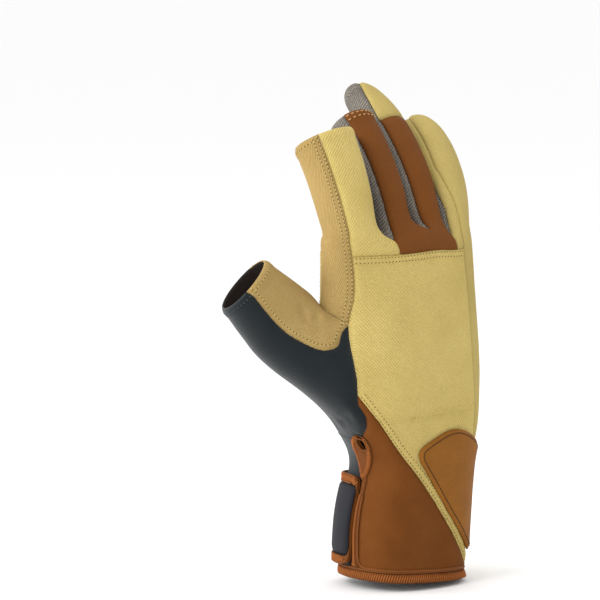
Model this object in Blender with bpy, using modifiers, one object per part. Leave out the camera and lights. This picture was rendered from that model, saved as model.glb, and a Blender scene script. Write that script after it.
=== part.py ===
"""A right-hand fishing glove, modelled as worn: hollow sewn panels round the shape of a hand.

Units are metres. The wrist opening is centred on the origin, the fingers point up +Z,
the back of the hand faces -Y, the palm faces +Y and the thumb is on the -X side.
"""

import math
from collections import namedtuple

import bmesh
import bpy
from mathutils import Vector

MM = 0.001

# Driving sizes of the hand form, which is the inside of the glove
PALM_LENGTH = 168 * MM
HALF_BREADTH = 44 * MM
HALF_DEPTH = 24 * MM
INDEX_LENGTH = 50.5 * MM
MIDDLE_LENGTH = 60 * MM
RING_LENGTH = 87 * MM
LITTLE_LENGTH = 65 * MM
INDEX_WIDTH = 28.5 * MM
MIDDLE_WIDTH = 22 * MM
RING_WIDTH = 21 * MM
LITTLE_WIDTH = 22 * MM
THUMB_LENGTH = 62 * MM
THUMB_WIDTH = 29 * MM
THUMB_SPREAD = 46.0
THUMB_FORWARD = 17.5

# Cloth, binding and trim
WALL = 1.2 * MM
KNIT_WALL = 1.0 * MM
GAP = 0.3 * MM
KNIT_RIM = 1.8 * GAP
PAD_RISE = 1.8 * MM
HEM_HEIGHT = 5 * MM
HEM_FOLD = 0.8 * MM
BINDING_RISE = 0.9 * MM
PATCH_WALL = 1.0 * MM
PATCH_CLEARANCE = 0.5 * MM
LEATHER_WALL = 1.8 * MM
STRAP_WALL = 1.2 * MM
STRAP_BOTTOM = 6.5 * MM
STRAP_HEIGHT = 43 * MM
STRAP_TRIM = 4.5 * MM
STRAP_CORNER = 2.5 * MM
WINDOW_CORNER = 1.6 * MM
RUBBER_WALL = 1.2 * MM
EDGE_TRIM = 4 * MM
SLIT_LENGTH = 9 * MM
SLIT_WIDTH = 5.5 * MM
LOOP_CORNER = 1.6 * MM
PATCH_CORNER = 4 * MM
LEATHER_CORNER = 3.5 * MM

SMOOTHING = 1
COLUMNS = 20
PATH_STEPS = 16
SHARP_ANGLE = 50.0

# An edge is drawn in at a corner by no more than the distance over this share
SHARPEST_CORNER = 0.3

# Powers are kept below this, where a field is far from its line
LARGEST_POWER = 60.0

# A cut line takes the vertices nearer to it than this share of an edge
NEAR_THE_CUT = 0.15

# Across the hand: where each column of the form lies, as a share of the half breadth,
# over the back and over the palm
OVER_BACK = (-1.0, -0.83, -0.57, -0.26, -0.02, 0.25, 0.41, 0.59, 0.77, 0.91, 1.0)
OVER_PALM = (-1.0, -0.87, -0.70, -0.47, -0.18, 0.10, 0.31, 0.53, 0.74, 0.90, 1.0)
SQUARENESS = 2.6

# Up the hand: height as a share of PALM_LENGTH, thumb side and little-finger side as
# shares of HALF_BREADTH, back and palm as shares of HALF_DEPTH
Section = namedtuple("Section", "height thumb_side little_side back palm")
HAND = (
    Section(0.00, 0.71, 0.69, 1.02, 1.02),
    Section(0.10, 0.73, 0.70, 1.00, 1.00),
    Section(0.22, 0.71, 0.74, 0.97, 0.97),
    Section(0.34, 0.46, 0.815, 0.95, 0.94),
    Section(0.42, 0.70, 0.91, 0.96, 0.99),
    Section(0.505, 0.95, 0.95, 0.97, 1.04),
    Section(0.63, 1.00, 0.955, 0.90, 1.00),
    Section(0.76, 1.05, 0.94, 0.79, 0.92),
    Section(0.87, 1.05, 0.935, 0.67, 0.86),
    Section(0.963, 1.07, 0.935, 0.56, 0.81),
    Section(1.00, 1.09, 0.92, 0.48, 0.77),
)

# How far the back of a crotch reaches up past the top section, by its column
CROTCH_REACH = {3: -3 * MM, 5: 3.5 * MM, 7: -4 * MM}
CROTCH_DROP = 2 * MM

# The wrist's lower edge rises this much for each unit of breadth towards the thumb side
HEM_SLANT = 0.06

# The rows and columns of the form that the thumb grows from, and how many corners
# its rings are turned by
THUMB_ROWS = (5, 7)
THUMB_COLUMNS = (1, 0, COLUMNS - 1, COLUMNS - 2)
THUMB_TURN = 1.5
THUMB_ROOT = Section(0.625, 0.77, 0.0, 0.0, 0.375)

# Along a finger: station as a share of its length, width and thickness as shares of its width
Station = namedtuple("Station", "along width thickness")
OPEN_FINGER = (
    Station(0.07, 0.77, 0.92),
    Station(0.24, 0.86, 0.93),
    Station(0.50, 0.94, 0.92),
    Station(0.76, 1.00, 0.90),
    Station(1.00, 1.04, 0.90),
)
CLOSED_FINGER = (
    Station(0.05, 0.80, 0.94),
    Station(0.18, 0.88, 0.96),
    Station(0.38, 0.97, 0.95),
    Station(0.60, 0.99, 0.91),
    Station(0.79, 0.94, 0.85),
    Station(0.93, 0.78, 0.70),
    Station(1.00, 0.46, 0.41),
)
THUMB = (
    Station(0.47, 1.33, 1.02),
    Station(0.64, 1.25, 0.99),
    Station(0.82, 1.12, 0.95),
    Station(1.00, 1.00, 0.90),
)
THUMB_SAG = 0.07

Finger = namedtuple("Finger", "name first last length width root_tilt tip_tilt lean stations closed")
FINGERS = (
    Finger("index", 0, 3, INDEX_LENGTH, INDEX_WIDTH, 4, 28, -7, OPEN_FINGER, False),
    Finger("middle", 3, 5, MIDDLE_LENGTH, MIDDLE_WIDTH, 5, 49, -4, OPEN_FINGER, False),
    Finger("ring", 5, 7, RING_LENGTH, RING_WIDTH, 9, 66, -2, CLOSED_FINGER, True),
    Finger("little", 7, 10, LITTLE_LENGTH, LITTLE_WIDTH, 11, 62, 9, CLOSED_FINGER, True),
)

# How far to each side of its middle a finger's own cut reaches, as a share of its width
FINGER_REACH = 0.6

# A zone is the part of the form that one sewn panel covers, and the number of a
# zone is its place in this list
ZONES = (
    "back_panel",
    "index_back",
    "knuckle_panel",
    "ring_tip_back",
    "little_back",
    "ulnar_panel",
    "web_panel",
    "thumb_shell",
    "palm_base",
    "middle_palm",
    "ring_palm",
    "ring_tip_palm",
    "little_palm",
    "index_middle_gusset",
    "middle_ring_gusset",
    "ring_little_gusset",
    "cuff_body",
    "hem_binding",
    "waste",
)
ZONE = {name: number for number, name in enumerate(ZONES)}

# Which zone each of a finger's eight sides belongs to, from the thumb side over the back
FINGER_SIDES = {
    "index": ("web_panel", "index_back", "index_back", "index_middle_gusset",
              "index_middle_gusset", "palm_base", "palm_base", "web_panel"),
    "middle": ("index_middle_gusset", "knuckle_panel", "knuckle_panel", "middle_ring_gusset",
               "middle_ring_gusset", "middle_palm", "middle_palm", "index_middle_gusset"),
    "ring": ("middle_ring_gusset", "knuckle_panel", "knuckle_panel", "ring_little_gusset",
             "ring_little_gusset", "ring_palm", "ring_palm", "middle_ring_gusset"),
    "little": ("ring_little_gusset", "little_back", "little_back", "ulnar_panel",
               "ulnar_panel", "little_palm", "little_palm", "ring_little_gusset"),
}
ULNAR_COLUMNS = (9, 10)
BACK_AT_KNUCKLES = ("index_back", "index_back", "knuckle_panel", "knuckle_panel",
                    "knuckle_panel", "knuckle_panel", "little_back", "little_back")
THUMB_SIDES = ("thumb_shell", "thumb_shell", "thumb_shell", "thumb_shell", "thumb_shell",
               "web_panel", "web_panel", "web_panel", "web_panel", "thumb_shell")

# Seams on the back, in x and z: the slanting edge of the back panel over the cuff
DIAGONAL_START = (-0.80 * HALF_BREADTH, 0.535 * PALM_LENGTH)
DIAGONAL_END = (0.61 * HALF_BREADTH, 0.018 * PALM_LENGTH)
WRIST_LOW = 0.39 * PALM_LENGTH
WRIST_TURN = 0.505 * PALM_LENGTH
RING_CAP = 0.65

# The seam between the back and the side panel of the little finger: its height and how far
# across it lies
ULNAR_SEAM = [(z * PALM_LENGTH, x * HALF_BREADTH) for z, x in (
    (0.33, 1.00), (0.375, 0.70), (0.43, 0.67), (0.48, 0.665), (0.57, 0.63), (0.70, 0.615), (0.89, 0.625),
    (0.965, 0.66), (1.03, 0.68), (1.08, 0.675), (1.13, 0.64), (1.18, 0.615), (1.22, 0.59))]

# The lower corner of the web panel, in x and z: its level edge and its upright one
WEB_EDGE = 0.688 * PALM_LENGTH
WEB_SIDE_START = (-1.055 * HALF_BREADTH, 0.70 * PALM_LENGTH)
WEB_SIDE_END = (-0.955 * HALF_BREADTH, 0.757 * PALM_LENGTH)
WEB_CORNER = 3 * MM

# The padded field of the back panel
PAD_BOTTOM = 0.45 * PALM_LENGTH
PAD_TOP = 0.94 * PALM_LENGTH
PAD_MIDDLE = 0.04 * HALF_BREADTH
PAD_HALF_BREADTH = 0.80 * HALF_BREADTH
PAD_STEEPNESS = 2.2

# The palm patch's corners, in x and z
PALM_PATCH = [(x * HALF_BREADTH, z * PALM_LENGTH) for x, z in (
    (-1.15, 0.97), (-0.30, 0.965), (0.10, 0.89), (0.33, 0.77), (0.37, 0.66), (0.37, 0.38),
    (-0.22, 0.375), (-1.15, 0.60))]

# The leather patch's corners, round the wrist and up
WRIST = 0.75 * HALF_BREADTH
LEATHER_PATCH = [(u * WRIST, z * PALM_LENGTH) for u, z in (
    (-2.62, 0.045), (-2.96, 0.25), (-2.80, 0.385), (-2.15, 0.457), (-1.05, 0.390))]

# The slit's middle and the corners of the loop of binding round it, round the wrist and up
SLIT_PLACE = (-0.16 * WRIST, 0.412 * PALM_LENGTH)
SLIT_LOOP = [(u * WRIST, z * PALM_LENGTH) for u, z in (
    (-0.22, 0.285), (-0.46, 0.355), (-0.41, 0.44), (-0.20, 0.475), (0.02, 0.44), (0.0, 0.355),
    (-0.04, 0.285))]

# Where the strap starts and ends, round the wrist
STRAP_START = 0.02 * WRIST
STRAP_END = 2.86 * WRIST


def strap_corners(margin):
    """The strap's outline, or that of its window when a margin is taken off it."""
    bottom = STRAP_BOTTOM + margin
    top = STRAP_BOTTOM + STRAP_HEIGHT - margin
    start = STRAP_START + margin
    end = STRAP_END - margin
    return [(start, bottom), (start, top), (end, top), (end, bottom)]


def edge_trim():
    """The four sides of the trim down the edge of the cuff, beside the strap."""
    end = STRAP_START - GAP
    start = end - EDGE_TRIM
    top = STRAP_BOTTOM + STRAP_HEIGHT
    return [
        lambda point: round_the_wrist(point) - start,
        lambda point: end - round_the_wrist(point),
        lambda point: above_hem(point)[1] - STRAP_BOTTOM,
        lambda point: top - above_hem(point)[1],
    ]


def hem_level(across):
    """How high the wrist's slanting edge lies at a place across the breadth."""
    return -HEM_SLANT * across


def section_point(section, column):
    """The point of one column on a cross section of the hand."""
    over_back = column <= COLUMNS // 2
    across = OVER_BACK[column] if over_back else OVER_PALM[COLUMNS - column]
    side = section.thumb_side if across < 0 else section.little_side
    share = (1 - abs(across) ** SQUARENESS) ** (1 / SQUARENESS)
    depth = -section.back if over_back else section.palm
    x = across * side * HALF_BREADTH
    z = section.height * PALM_LENGTH
    if section is HAND[0]:
        z += hem_level(x)
    if section is HAND[-1] and over_back:
        z += CROTCH_REACH.get(column, 0)
    return Vector((x, share * depth * HALF_DEPTH, z))


def hand_zone(row, column):
    """The zone of a face of the hand, by its row up from the wrist and its column."""
    at_knuckles = row >= len(HAND) - 2
    if column == 0 and row < THUMB_ROWS[0] - 1:
        return "back_panel"
    if column in (0, COLUMNS - 1):
        return "web_panel" if row >= THUMB_ROWS[1] else "thumb_shell"
    if column == COLUMNS - 2 and row < THUMB_ROWS[1]:
        return "thumb_shell"
    if column in ULNAR_COLUMNS:
        return "ulnar_panel"
    if column < ULNAR_COLUMNS[0]:
        return BACK_AT_KNUCKLES[column - 1] if at_knuckles else "back_panel"
    return "palm_base"


def swell(corners):
    """How much larger a cage ring is than the smooth ring that it gives."""
    return 3 / (2 + math.cos(2 * math.pi / corners))


def extrude_ring(bm, face, ring, targets):
    """Extrude the face that the ring bounds, move it to the targets, and return it with its ring."""
    made = bmesh.ops.extrude_discrete_faces(bm, faces=[face])["faces"][0]
    moved = [min(made.verts, key=lambda v: (v.co - old.co).length) for old in ring]
    for vert, target in zip(moved, targets):
        vert.co = target
    return made, moved


def paint_ring(bm, ring, cap, sides):
    """Give the faces just under a ring the zones of the sides."""
    for number, name in enumerate(sides):
        edge = bm.edges.get((ring[number], ring[(number + 1) % len(ring)]))
        for face in edge.link_faces:
            if face is not cap:
                face.material_index = ZONE[name]


def finger_path(finger, root, along):
    """The centre and the across, palm and forward directions at a share of a finger's length."""
    centre = root.copy()
    for step in range(PATH_STEPS):
        share = (step + 0.5) / PATH_STEPS * along
        tilt = math.radians(finger.root_tilt + (finger.tip_tilt - finger.root_tilt) * share)
        centre += forward_of(tilt, finger.lean) * finger.length * along / PATH_STEPS
    tilt = math.radians(finger.root_tilt + (finger.tip_tilt - finger.root_tilt) * along)
    forward = forward_of(tilt, finger.lean)
    palm = Vector((0, math.cos(tilt), -math.sin(tilt)))
    return centre, palm.cross(forward), palm, forward


def forward_of(tilt, lean):
    return Vector((
        math.sin(math.radians(lean)) * math.cos(tilt),
        math.sin(tilt),
        math.cos(math.radians(lean)) * math.cos(tilt),
    ))


def add_finger(bm, finger, face, ring):
    """Extrude a finger along its path from the face that the ring bounds."""
    root = sum((vert.co for vert in ring), Vector()) / len(ring)
    for station in finger.stations:
        centre, across, palm, _ = finger_path(finger, root, station.along)
        half_width = station.width * finger.width / 2 * swell(len(ring))
        half_thickness = station.thickness * finger.width / 2 * swell(len(ring))
        targets = []
        for number in range(len(ring)):
            angle = 2 * math.pi * number / len(ring)
            targets.append(centre - across * half_width * math.cos(angle)
                           - palm * half_thickness * math.sin(angle))
        face, ring = extrude_ring(bm, face, ring, targets)
        paint_ring(bm, ring, face, FINGER_SIDES[finger.name])
    if finger.closed:
        bmesh.ops.poke(bm, faces=[face])
        paint_ring(bm, ring, None, FINGER_SIDES[finger.name])
    else:
        bmesh.ops.delete(bm, geom=[face], context="FACES_ONLY")


def thumb_frame():
    """The root of the thumb and its forward, web and palm directions."""
    root = Vector((
        -THUMB_ROOT.thumb_side * HALF_BREADTH,
        THUMB_ROOT.palm * HALF_DEPTH,
        THUMB_ROOT.height * PALM_LENGTH,
    ))
    spread, forward_tilt = math.radians(THUMB_SPREAD), math.radians(THUMB_FORWARD)
    forward = Vector((
        -math.sin(spread) * math.cos(forward_tilt),
        math.sin(forward_tilt),
        math.cos(spread) * math.cos(forward_tilt),
    ))
    web = (Vector((0, 0, 1)) - forward * forward.z).normalized()
    return root, forward, web, forward.cross(web)


def add_thumb(bm, face, ring):
    """Extrude the thumb from the face that the ring bounds, to its open tip."""
    root, forward, web, palm = thumb_frame()
    for station in THUMB:
        half_width = station.width * THUMB_WIDTH / 2 * swell(len(ring))
        half_thickness = station.thickness * THUMB_WIDTH / 2 * swell(len(ring))
        sag = THUMB_SAG * THUMB_WIDTH * (1 - station.along) / (1 - THUMB[0].along)
        centre = root + forward * station.along * THUMB_LENGTH - web * sag
        targets = []
        for number in range(len(ring)):
            angle = 2 * math.pi * (number - THUMB_TURN) / len(ring)
            targets.append(centre - web * half_width * math.cos(angle)
                           + palm * half_thickness * math.sin(angle))
        face, ring = extrude_ring(bm, face, ring, targets)
        paint_ring(bm, ring, face, THUMB_SIDES)
    bmesh.ops.delete(bm, geom=[face], context="FACES_ONLY")


def hand_cage():
    """The coarse cage of the whole hand, open at the wrist and at three tips."""
    bm = bmesh.new()
    bmesh.ops.create_circle(bm, cap_ends=False, segments=COLUMNS, radius=HALF_BREADTH)
    bm.verts.ensure_lookup_table()
    rings = [list(bm.verts)]
    for column, vert in enumerate(rings[0]):
        vert.co = section_point(HAND[0], column)
    for row, section in enumerate(HAND[1:]):
        edges = [bm.edges.get((rings[-1][i], rings[-1][i - 1])) for i in range(COLUMNS)]
        made = bmesh.ops.extrude_edge_only(bm, edges=edges)["geom"]
        fresh = [item for item in made if isinstance(item, bmesh.types.BMVert)]
        ring = [min(fresh, key=lambda v: (v.co - old.co).length) for old in rings[-1]]
        for column, vert in enumerate(ring):
            vert.co = section_point(section, column)
        for column in range(COLUMNS):
            edge = bm.edges.get((ring[column], ring[(column + 1) % COLUMNS]))
            edge.link_faces[0].material_index = ZONE[hand_zone(row, column)]
        rings.append(ring)
    add_roots(bm, rings)
    bmesh.ops.recalc_face_normals(bm, faces=bm.faces)
    return bm


def add_roots(bm, rings):
    """Split the top of the hand into four finger roots and its side into a thumb root."""
    top = rings[-1]
    lid = bmesh.ops.contextual_create(
        bm, geom=[bm.edges.get((top[i], top[i - 1])) for i in range(COLUMNS)])["faces"][0]
    lid.normal_update()
    crotches = {}
    for column in CROTCH_REACH:
        edge = bmesh.ops.connect_vert_pair(
            bm, verts=[top[column], top[COLUMNS - column]])["edges"][0]
        edge, middle = bmesh.utils.edge_split(edge, top[column], 0.5)
        middle.co.z -= CROTCH_DROP
        crotches[column] = middle
    for finger in FINGERS:
        back = [top[column] for column in range(finger.first, finger.last + 1)]
        palm = [top[(COLUMNS - column) % COLUMNS] for column in range(finger.last, finger.first - 1, -1)]
        ring = back + ([crotches[finger.last]] if finger.last in crotches else []) + palm
        if finger.first in crotches:
            ring = [crotches[finger.first]] + ring
        ring = list(dict.fromkeys(ring))
        face = next(f for f in ring[0].link_faces if set(f.verts) == set(ring))
        add_finger(bm, finger, face, ring)
    low, high = THUMB_ROWS
    middle_row = (low + high) // 2
    block = [v for row in range(low, high + 1) for v in (rings[row][c] for c in THUMB_COLUMNS)]
    faces = [f for f in bm.faces if all(v in block for v in f.verts)]
    face = bmesh.ops.dissolve_faces(bm, faces=faces, use_verts=True)["region"][0]
    first, last = THUMB_COLUMNS[0], THUMB_COLUMNS[-1]
    ring = ([rings[low][c] for c in THUMB_COLUMNS] + [rings[middle_row][last]]
            + [rings[high][c] for c in reversed(THUMB_COLUMNS)] + [rings[middle_row][first]])
    add_thumb(bm, face, ring)


def smoothed(bm, levels):
    """The cage's subdivided surface, with its outward direction stored at each vertex."""
    mesh = bpy.data.meshes.new("cage")
    bm.to_mesh(mesh)
    bm.free()
    cage = bpy.data.objects.new("cage", mesh)
    bpy.context.scene.collection.objects.link(cage)
    subdivision = cage.modifiers.new("smooth", "SUBSURF")
    subdivision.levels = levels
    subdivision.render_levels = levels
    evaluated = cage.evaluated_get(bpy.context.evaluated_depsgraph_get())
    surface = bmesh.new()
    surface.from_mesh(evaluated.to_mesh())
    evaluated.to_mesh_clear()
    bpy.data.objects.remove(cage)
    bpy.data.meshes.remove(mesh)
    surface.normal_update()
    outward = surface.verts.layers.float_vector.new("outward")
    for vert in surface.verts:
        vert[outward] = vert.normal
    return surface


def refine(bm, sources, field):
    """Split the faces of the source zones that reach above zero of the field into smaller ones."""
    numbers = {ZONE[name] for name in sources}
    edges = [edge for face in bm.faces if face.material_index in numbers
             and any(field(v.co) > 0 for v in face.verts) for edge in face.edges]
    bmesh.ops.subdivide_edges(bm, edges=list(dict.fromkeys(edges)), cuts=1, use_grid_fill=True)


def repaint(bm, sources, field, zone):
    """Cut the source zones where the field is zero, and give the zone where it is above."""
    numbers = {ZONE[name] for name in sources}
    faces = [f for f in bm.faces if f.material_index in numbers]
    edges = list(dict.fromkeys(e for f in faces for e in f.edges))
    value = {v: field(v.co) for e in edges for v in e.verts}
    on_line = {}
    for edge in edges:
        a, b = edge.verts
        if value[a] * value[b] >= 0:
            continue
        share = value[a] / (value[a] - value[b])
        if share < NEAR_THE_CUT:
            on_line[a] = True
        elif share > 1 - NEAR_THE_CUT:
            on_line[b] = True
    for vert in on_line:
        slide_to_zero(vert, value)
        value[vert] = 0.0
    for edge in edges:
        a, b = edge.verts
        if value[a] * value[b] < 0:
            made = bmesh.utils.edge_split(edge, a, value[a] / (value[a] - value[b]))[1]
            value[made] = 0.0
    bmesh.ops.connect_verts(bm, verts=[v for v in value if value[v] == 0.0])
    for face in bm.faces:
        if face.material_index in numbers:
            known = [value.get(v, 0.0) for v in face.verts]
            if max(known) + min(known) > 0:
                face.material_index = ZONE[zone]


def slide_to_zero(vert, value):
    """Move a vertex along its steepest edge to where the field is zero."""
    best, share = None, 1.0
    for edge in vert.link_edges:
        other = edge.other_vert(vert)
        there = value.get(other)
        if there is None or value[vert] * there >= 0:
            continue
        part = value[vert] / (value[vert] - there)
        if part < share:
            best, share = other, part
    if best is not None:
        vert.co = vert.co.lerp(best.co, share)


def draw_in(bm, distance):
    """Move each open edge of a panel back along the surface by the distance."""
    outward = bm.verts.layers.float_vector["outward"]
    moves = {}
    for edge in bm.edges:
        if not edge.is_boundary:
            continue
        loop = edge.link_loops[0]
        start, end = loop.vert, loop.link_loop_next.vert
        along = (end.co - start.co).normalized()
        inward = edge.link_faces[0].normal.cross(along)
        for vert in (start, end):
            moves.setdefault(vert, []).append(inward)
    for vert, inwards in moves.items():
        total = sum(inwards, Vector())
        if total.length < SHARPEST_CORNER:
            total = inwards[0].copy()
        direction = total.normalized()
        stretch = max(SHARPEST_CORNER, direction.dot(inwards[0]))
        direction -= direction.project(Vector(vert[outward]))
        vert.co += direction * distance / stretch


def shell(surface, names, inner, outer, outlines=(), rim=GAP / 2):
    """A closed wall over the named zones and within the outlines, from inner to outer above the form."""
    bm = surface.copy()
    for outline in outlines:
        repaint(bm, names, lambda point: -outline(point), "waste")
    numbers = {ZONE[name] for name in names}
    doomed = [f for f in bm.faces if f.material_index not in numbers]
    bmesh.ops.delete(bm, geom=doomed, context="FACES")
    bm.normal_update()
    draw_in(bm, rim)
    outward = bm.verts.layers.float_vector["outward"]
    originals = list(bm.verts)
    lift = {v: Vector(v[outward]).normalized() for v in originals}
    made = bmesh.ops.extrude_face_region(bm, geom=list(bm.faces), use_keep_orig=True)["geom"]
    for vert in made:
        if isinstance(vert, bmesh.types.BMVert):
            height = outer(vert.co) if callable(outer) else outer
            vert.co += Vector(vert[outward]).normalized() * height
    for vert in originals:
        height = inner(vert.co) if callable(inner) else inner
        vert.co += lift[vert] * height
    bmesh.ops.recalc_face_normals(bm, faces=bm.faces)
    return bm


def add_node(collection, name, bm, material):
    """A new object from a finished bmesh."""
    mesh = bpy.data.meshes.new(name)
    bm.to_mesh(mesh)
    bm.free()
    mesh.shade_smooth()
    mesh.set_sharp_from_angle(angle=math.radians(SHARP_ANGLE))
    mesh.materials.clear()
    mesh.materials.append(material)
    for polygon in mesh.polygons:
        polygon.material_index = 0
    collection.objects.link(bpy.data.objects.new(name, mesh))


def make_material(name, colour, roughness):
    material = bpy.data.materials.new(name)
    material.use_nodes = True
    shader = material.node_tree.nodes["Principled BSDF"]
    shader.inputs["Base Color"].default_value = (*colour, 1)
    shader.inputs["Roughness"].default_value = roughness
    shader.inputs["Metallic"].default_value = 0
    return material


def round_the_wrist(point):
    """How far a point lies round the wrist from the thumb side, positive over the palm."""
    return WRIST * math.atan2(point.y, -point.x)


def rounded(corners, softness, place):
    """A field that is positive inside a convex outline with rounded corners."""
    def field(point):
        u, v = place(point)
        total = 0.0
        for (u0, v0), (u1, v1) in zip(corners, corners[1:] + corners[:1]):
            length = math.hypot(u1 - u0, v1 - v0)
            inside = ((u - u0) * (v1 - v0) - (v - v0) * (u1 - u0)) / length
            total += math.exp(min(LARGEST_POWER, -inside / softness))
        return -softness * math.log(total)
    return field


def face_on(point):
    return point.x, point.z


def unrolled(point):
    return round_the_wrist(point), point.z


def above_hem(point):
    return round_the_wrist(point), point.z - hem_level(point.x)


def over_palm_only(field):
    return lambda point: field(point) if point.y > 0 else -HALF_DEPTH


def beside_line(point, start, end):
    """How far a point lies to the right of a line up the form, in x and z."""
    (x0, z0), (x1, z1) = start, end
    length = math.hypot(x1 - x0, z1 - z0)
    return ((point.x - x0) * (z1 - z0) - (point.z - z0) * (x1 - x0)) / length


def seam_place(corners, along):
    """Where a seam lies across the form, at a place along it."""
    for (start, first), (end, second) in zip(corners, corners[1:]):
        if along < end:
            share = max(0.0, (along - start) / (end - start))
            return first + (second - first) * share
    return corners[-1][1]


def ulnar_side(point):
    """Positive past the side seam of the little finger and the hand."""
    return point.x - seam_place(ULNAR_SEAM, point.z)


def diagonal(point):
    """Positive below the slanting edge of the back panel, over the cuff."""
    return beside_line(point, DIAGONAL_START, DIAGONAL_END)


def web_corner(point):
    """Positive past the lower corner of the web panel."""
    below = WEB_EDGE - point.z
    beside = beside_line(point, WEB_SIDE_START, WEB_SIDE_END)
    if point.y > 0:
        return below
    total = sum(math.exp(min(LARGEST_POWER, side / WEB_CORNER)) for side in (below, beside))
    return WEB_CORNER * math.log(total)


def wrist_corner(point):
    """Positive over the cuff, where its edge runs from the diagonal down to the thumb side."""
    turn = section_point(HAND[THUMB_ROWS[0]], 1)
    return -point.y + turn.y * max(0.0, point.z - WRIST_LOW) / (WRIST_TURN - WRIST_LOW)


def tip_plane(finger, root, along):
    """A field that is positive past a share of a finger's length, on that finger only."""
    centre, across, _, forward = finger_path(finger, root, along)

    def field(point):
        if abs((point - centre).dot(across)) > FINGER_REACH * finger.width:
            return -finger.width
        return (point - centre).dot(forward)
    return field


def slit_field(point):
    """Positive inside the oval of the slit."""
    centre_u, centre_z = SLIT_PLACE
    u, v = unrolled(point)
    half_u, half_v = SLIT_WIDTH / 2, SLIT_LENGTH / 2
    return (1 - math.hypot((u - centre_u) / half_u, (v - centre_z) / half_v)) * half_u


def padding(point):
    """How far the padded back panel stands proud of the wall, dying away at its edges."""
    along = (point.z - PAD_BOTTOM) / (PAD_TOP - PAD_BOTTOM)
    across = (point.x - PAD_MIDDLE) / PAD_HALF_BREADTH
    if not 0 < along < 1 or abs(across) > 1:
        return WALL
    return WALL + PAD_RISE * min(1.0, PAD_STEEPNESS * math.sin(math.pi * along)) * (1 - across ** 4) ** 2


def ring_finger_root():
    """The middle of the ring finger's root, where its path starts."""
    finger = FINGERS[2]
    columns = range(finger.first, finger.last + 1)
    ring = [section_point(HAND[-1], c) for c in columns]
    ring += [section_point(HAND[-1], COLUMNS - c) for c in columns]
    crotches = [(section_point(HAND[-1], c) + section_point(HAND[-1], COLUMNS - c)) / 2
                for c in (finger.first, finger.last)]
    for crotch in crotches:
        crotch.z -= CROTCH_DROP
    points = ring + crotches
    return sum(points, Vector()) / len(points)


def paint_seams(surface, ring_root):
    """Cut the form along the seams that cross its cage, and name the zones beside them."""
    ring_cap = tip_plane(FINGERS[2], ring_root, RING_CAP)
    repaint(surface, ["knuckle_panel"], ring_cap, "ring_tip_back")
    repaint(surface, ["ring_palm"], ring_cap, "ring_tip_palm")
    repaint(surface, ["back_panel"], diagonal, "cuff_body")
    for name in ("little_back", "back_panel"):
        repaint(surface, [name], ulnar_side, "ulnar_panel")
    repaint(surface, ["thumb_shell"], wrist_corner, "cuff_body")
    repaint(surface, ["web_panel"], web_corner, "thumb_shell")
    around_slit = ["cuff_body", "thumb_shell"]
    refine(surface, around_slit, rounded(SLIT_LOOP, LOOP_CORNER, unrolled))
    for name in around_slit:
        repaint(surface, [name], slit_field, "waste")
    around = ["cuff_body", "thumb_shell", "palm_base", "ulnar_panel", "back_panel"]
    repaint(surface, around, lambda point: HEM_HEIGHT - above_hem(point)[1], "hem_binding")


def add_overlays(collection, surface, materials):
    """The pieces that are sewn over the panels."""
    base = WALL + GAP
    patch_base = base + PATCH_CLEARANCE
    palm = over_palm_only(rounded(PALM_PATCH, PATCH_CORNER, face_on))
    add_node(collection, "palm_patch",
             shell(surface, ["palm_base", "thumb_shell"], patch_base, patch_base + PATCH_WALL, [palm]),
             materials["tan_twill"])
    strap_zones = ["thumb_shell", "palm_base", "ulnar_panel", "cuff_body", "hem_binding"]
    strap = rounded(strap_corners(0), STRAP_CORNER, above_hem)
    window = rounded(strap_corners(STRAP_TRIM), WINDOW_CORNER, above_hem)
    top = base + STRAP_WALL
    add_node(collection, "wrist_strap", shell(surface, strap_zones, base, top, [strap]),
             materials["neoprene"])
    frame = surface.copy()
    repaint(frame, strap_zones, window, "waste")
    add_node(collection, "strap_binding",
             shell(frame, strap_zones, top + GAP, top + GAP + RUBBER_WALL, [strap]),
             materials["binding"])
    frame.free()
    add_node(collection, "strap_panel",
             shell(surface, strap_zones, top + GAP, top + GAP + RUBBER_WALL, [window]),
             materials["rubber"])
    patch = rounded(LEATHER_PATCH, LEATHER_CORNER, unrolled)
    add_node(collection, "leather_patch",
             shell(surface, ["back_panel", "cuff_body", "ulnar_panel"], base, base + LEATHER_WALL, [patch]),
             materials["leather"])
    add_node(collection, "cuff_edge_binding",
             shell(surface, ["cuff_body", "thumb_shell"], base, base + BINDING_RISE, edge_trim()),
             materials["binding"])
    loop = rounded(SLIT_LOOP, LOOP_CORNER, unrolled)
    add_node(collection, "slit_loop",
             shell(surface, ["cuff_body", "thumb_shell"], base, base + BINDING_RISE, [loop]),
             materials["binding"])


PANELS = (
    ("back_panel", "tan_twill"),
    ("index_back", "tan_twill"),
    ("knuckle_panel", "brown_jersey"),
    ("ring_tip_back", "tan_twill"),
    ("little_back", "tan_twill"),
    ("ulnar_panel", "tan_twill"),
    ("web_panel", "tan_twill"),
    ("thumb_shell", "suede"),
    ("palm_base", "suede"),
    ("middle_palm", "tan_twill"),
    ("ring_palm", "tan_twill"),
    ("ring_tip_palm", "suede"),
    ("little_palm", "tan_twill"),
    ("cuff_body", "neoprene"),
)
GUSSETS = ("index_middle_gusset", "middle_ring_gusset", "ring_little_gusset")

# Each material's colour and roughness
MATERIALS = {
    "tan_twill": ((0.64, 0.50, 0.20), 0.85),
    "brown_jersey": ((0.16, 0.053, 0.013), 0.75),
    "neoprene": ((0.19, 0.062, 0.012), 0.8),
    "suede": ((0.017, 0.023, 0.030), 0.85),
    "grey_knit": ((0.20, 0.19, 0.19), 0.9),
    "binding": ((0.30, 0.09, 0.024), 0.8),
    "leather": ((0.26, 0.10, 0.025), 0.6),
    "rubber": ((0.03, 0.03, 0.037), 0.55),
}


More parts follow.
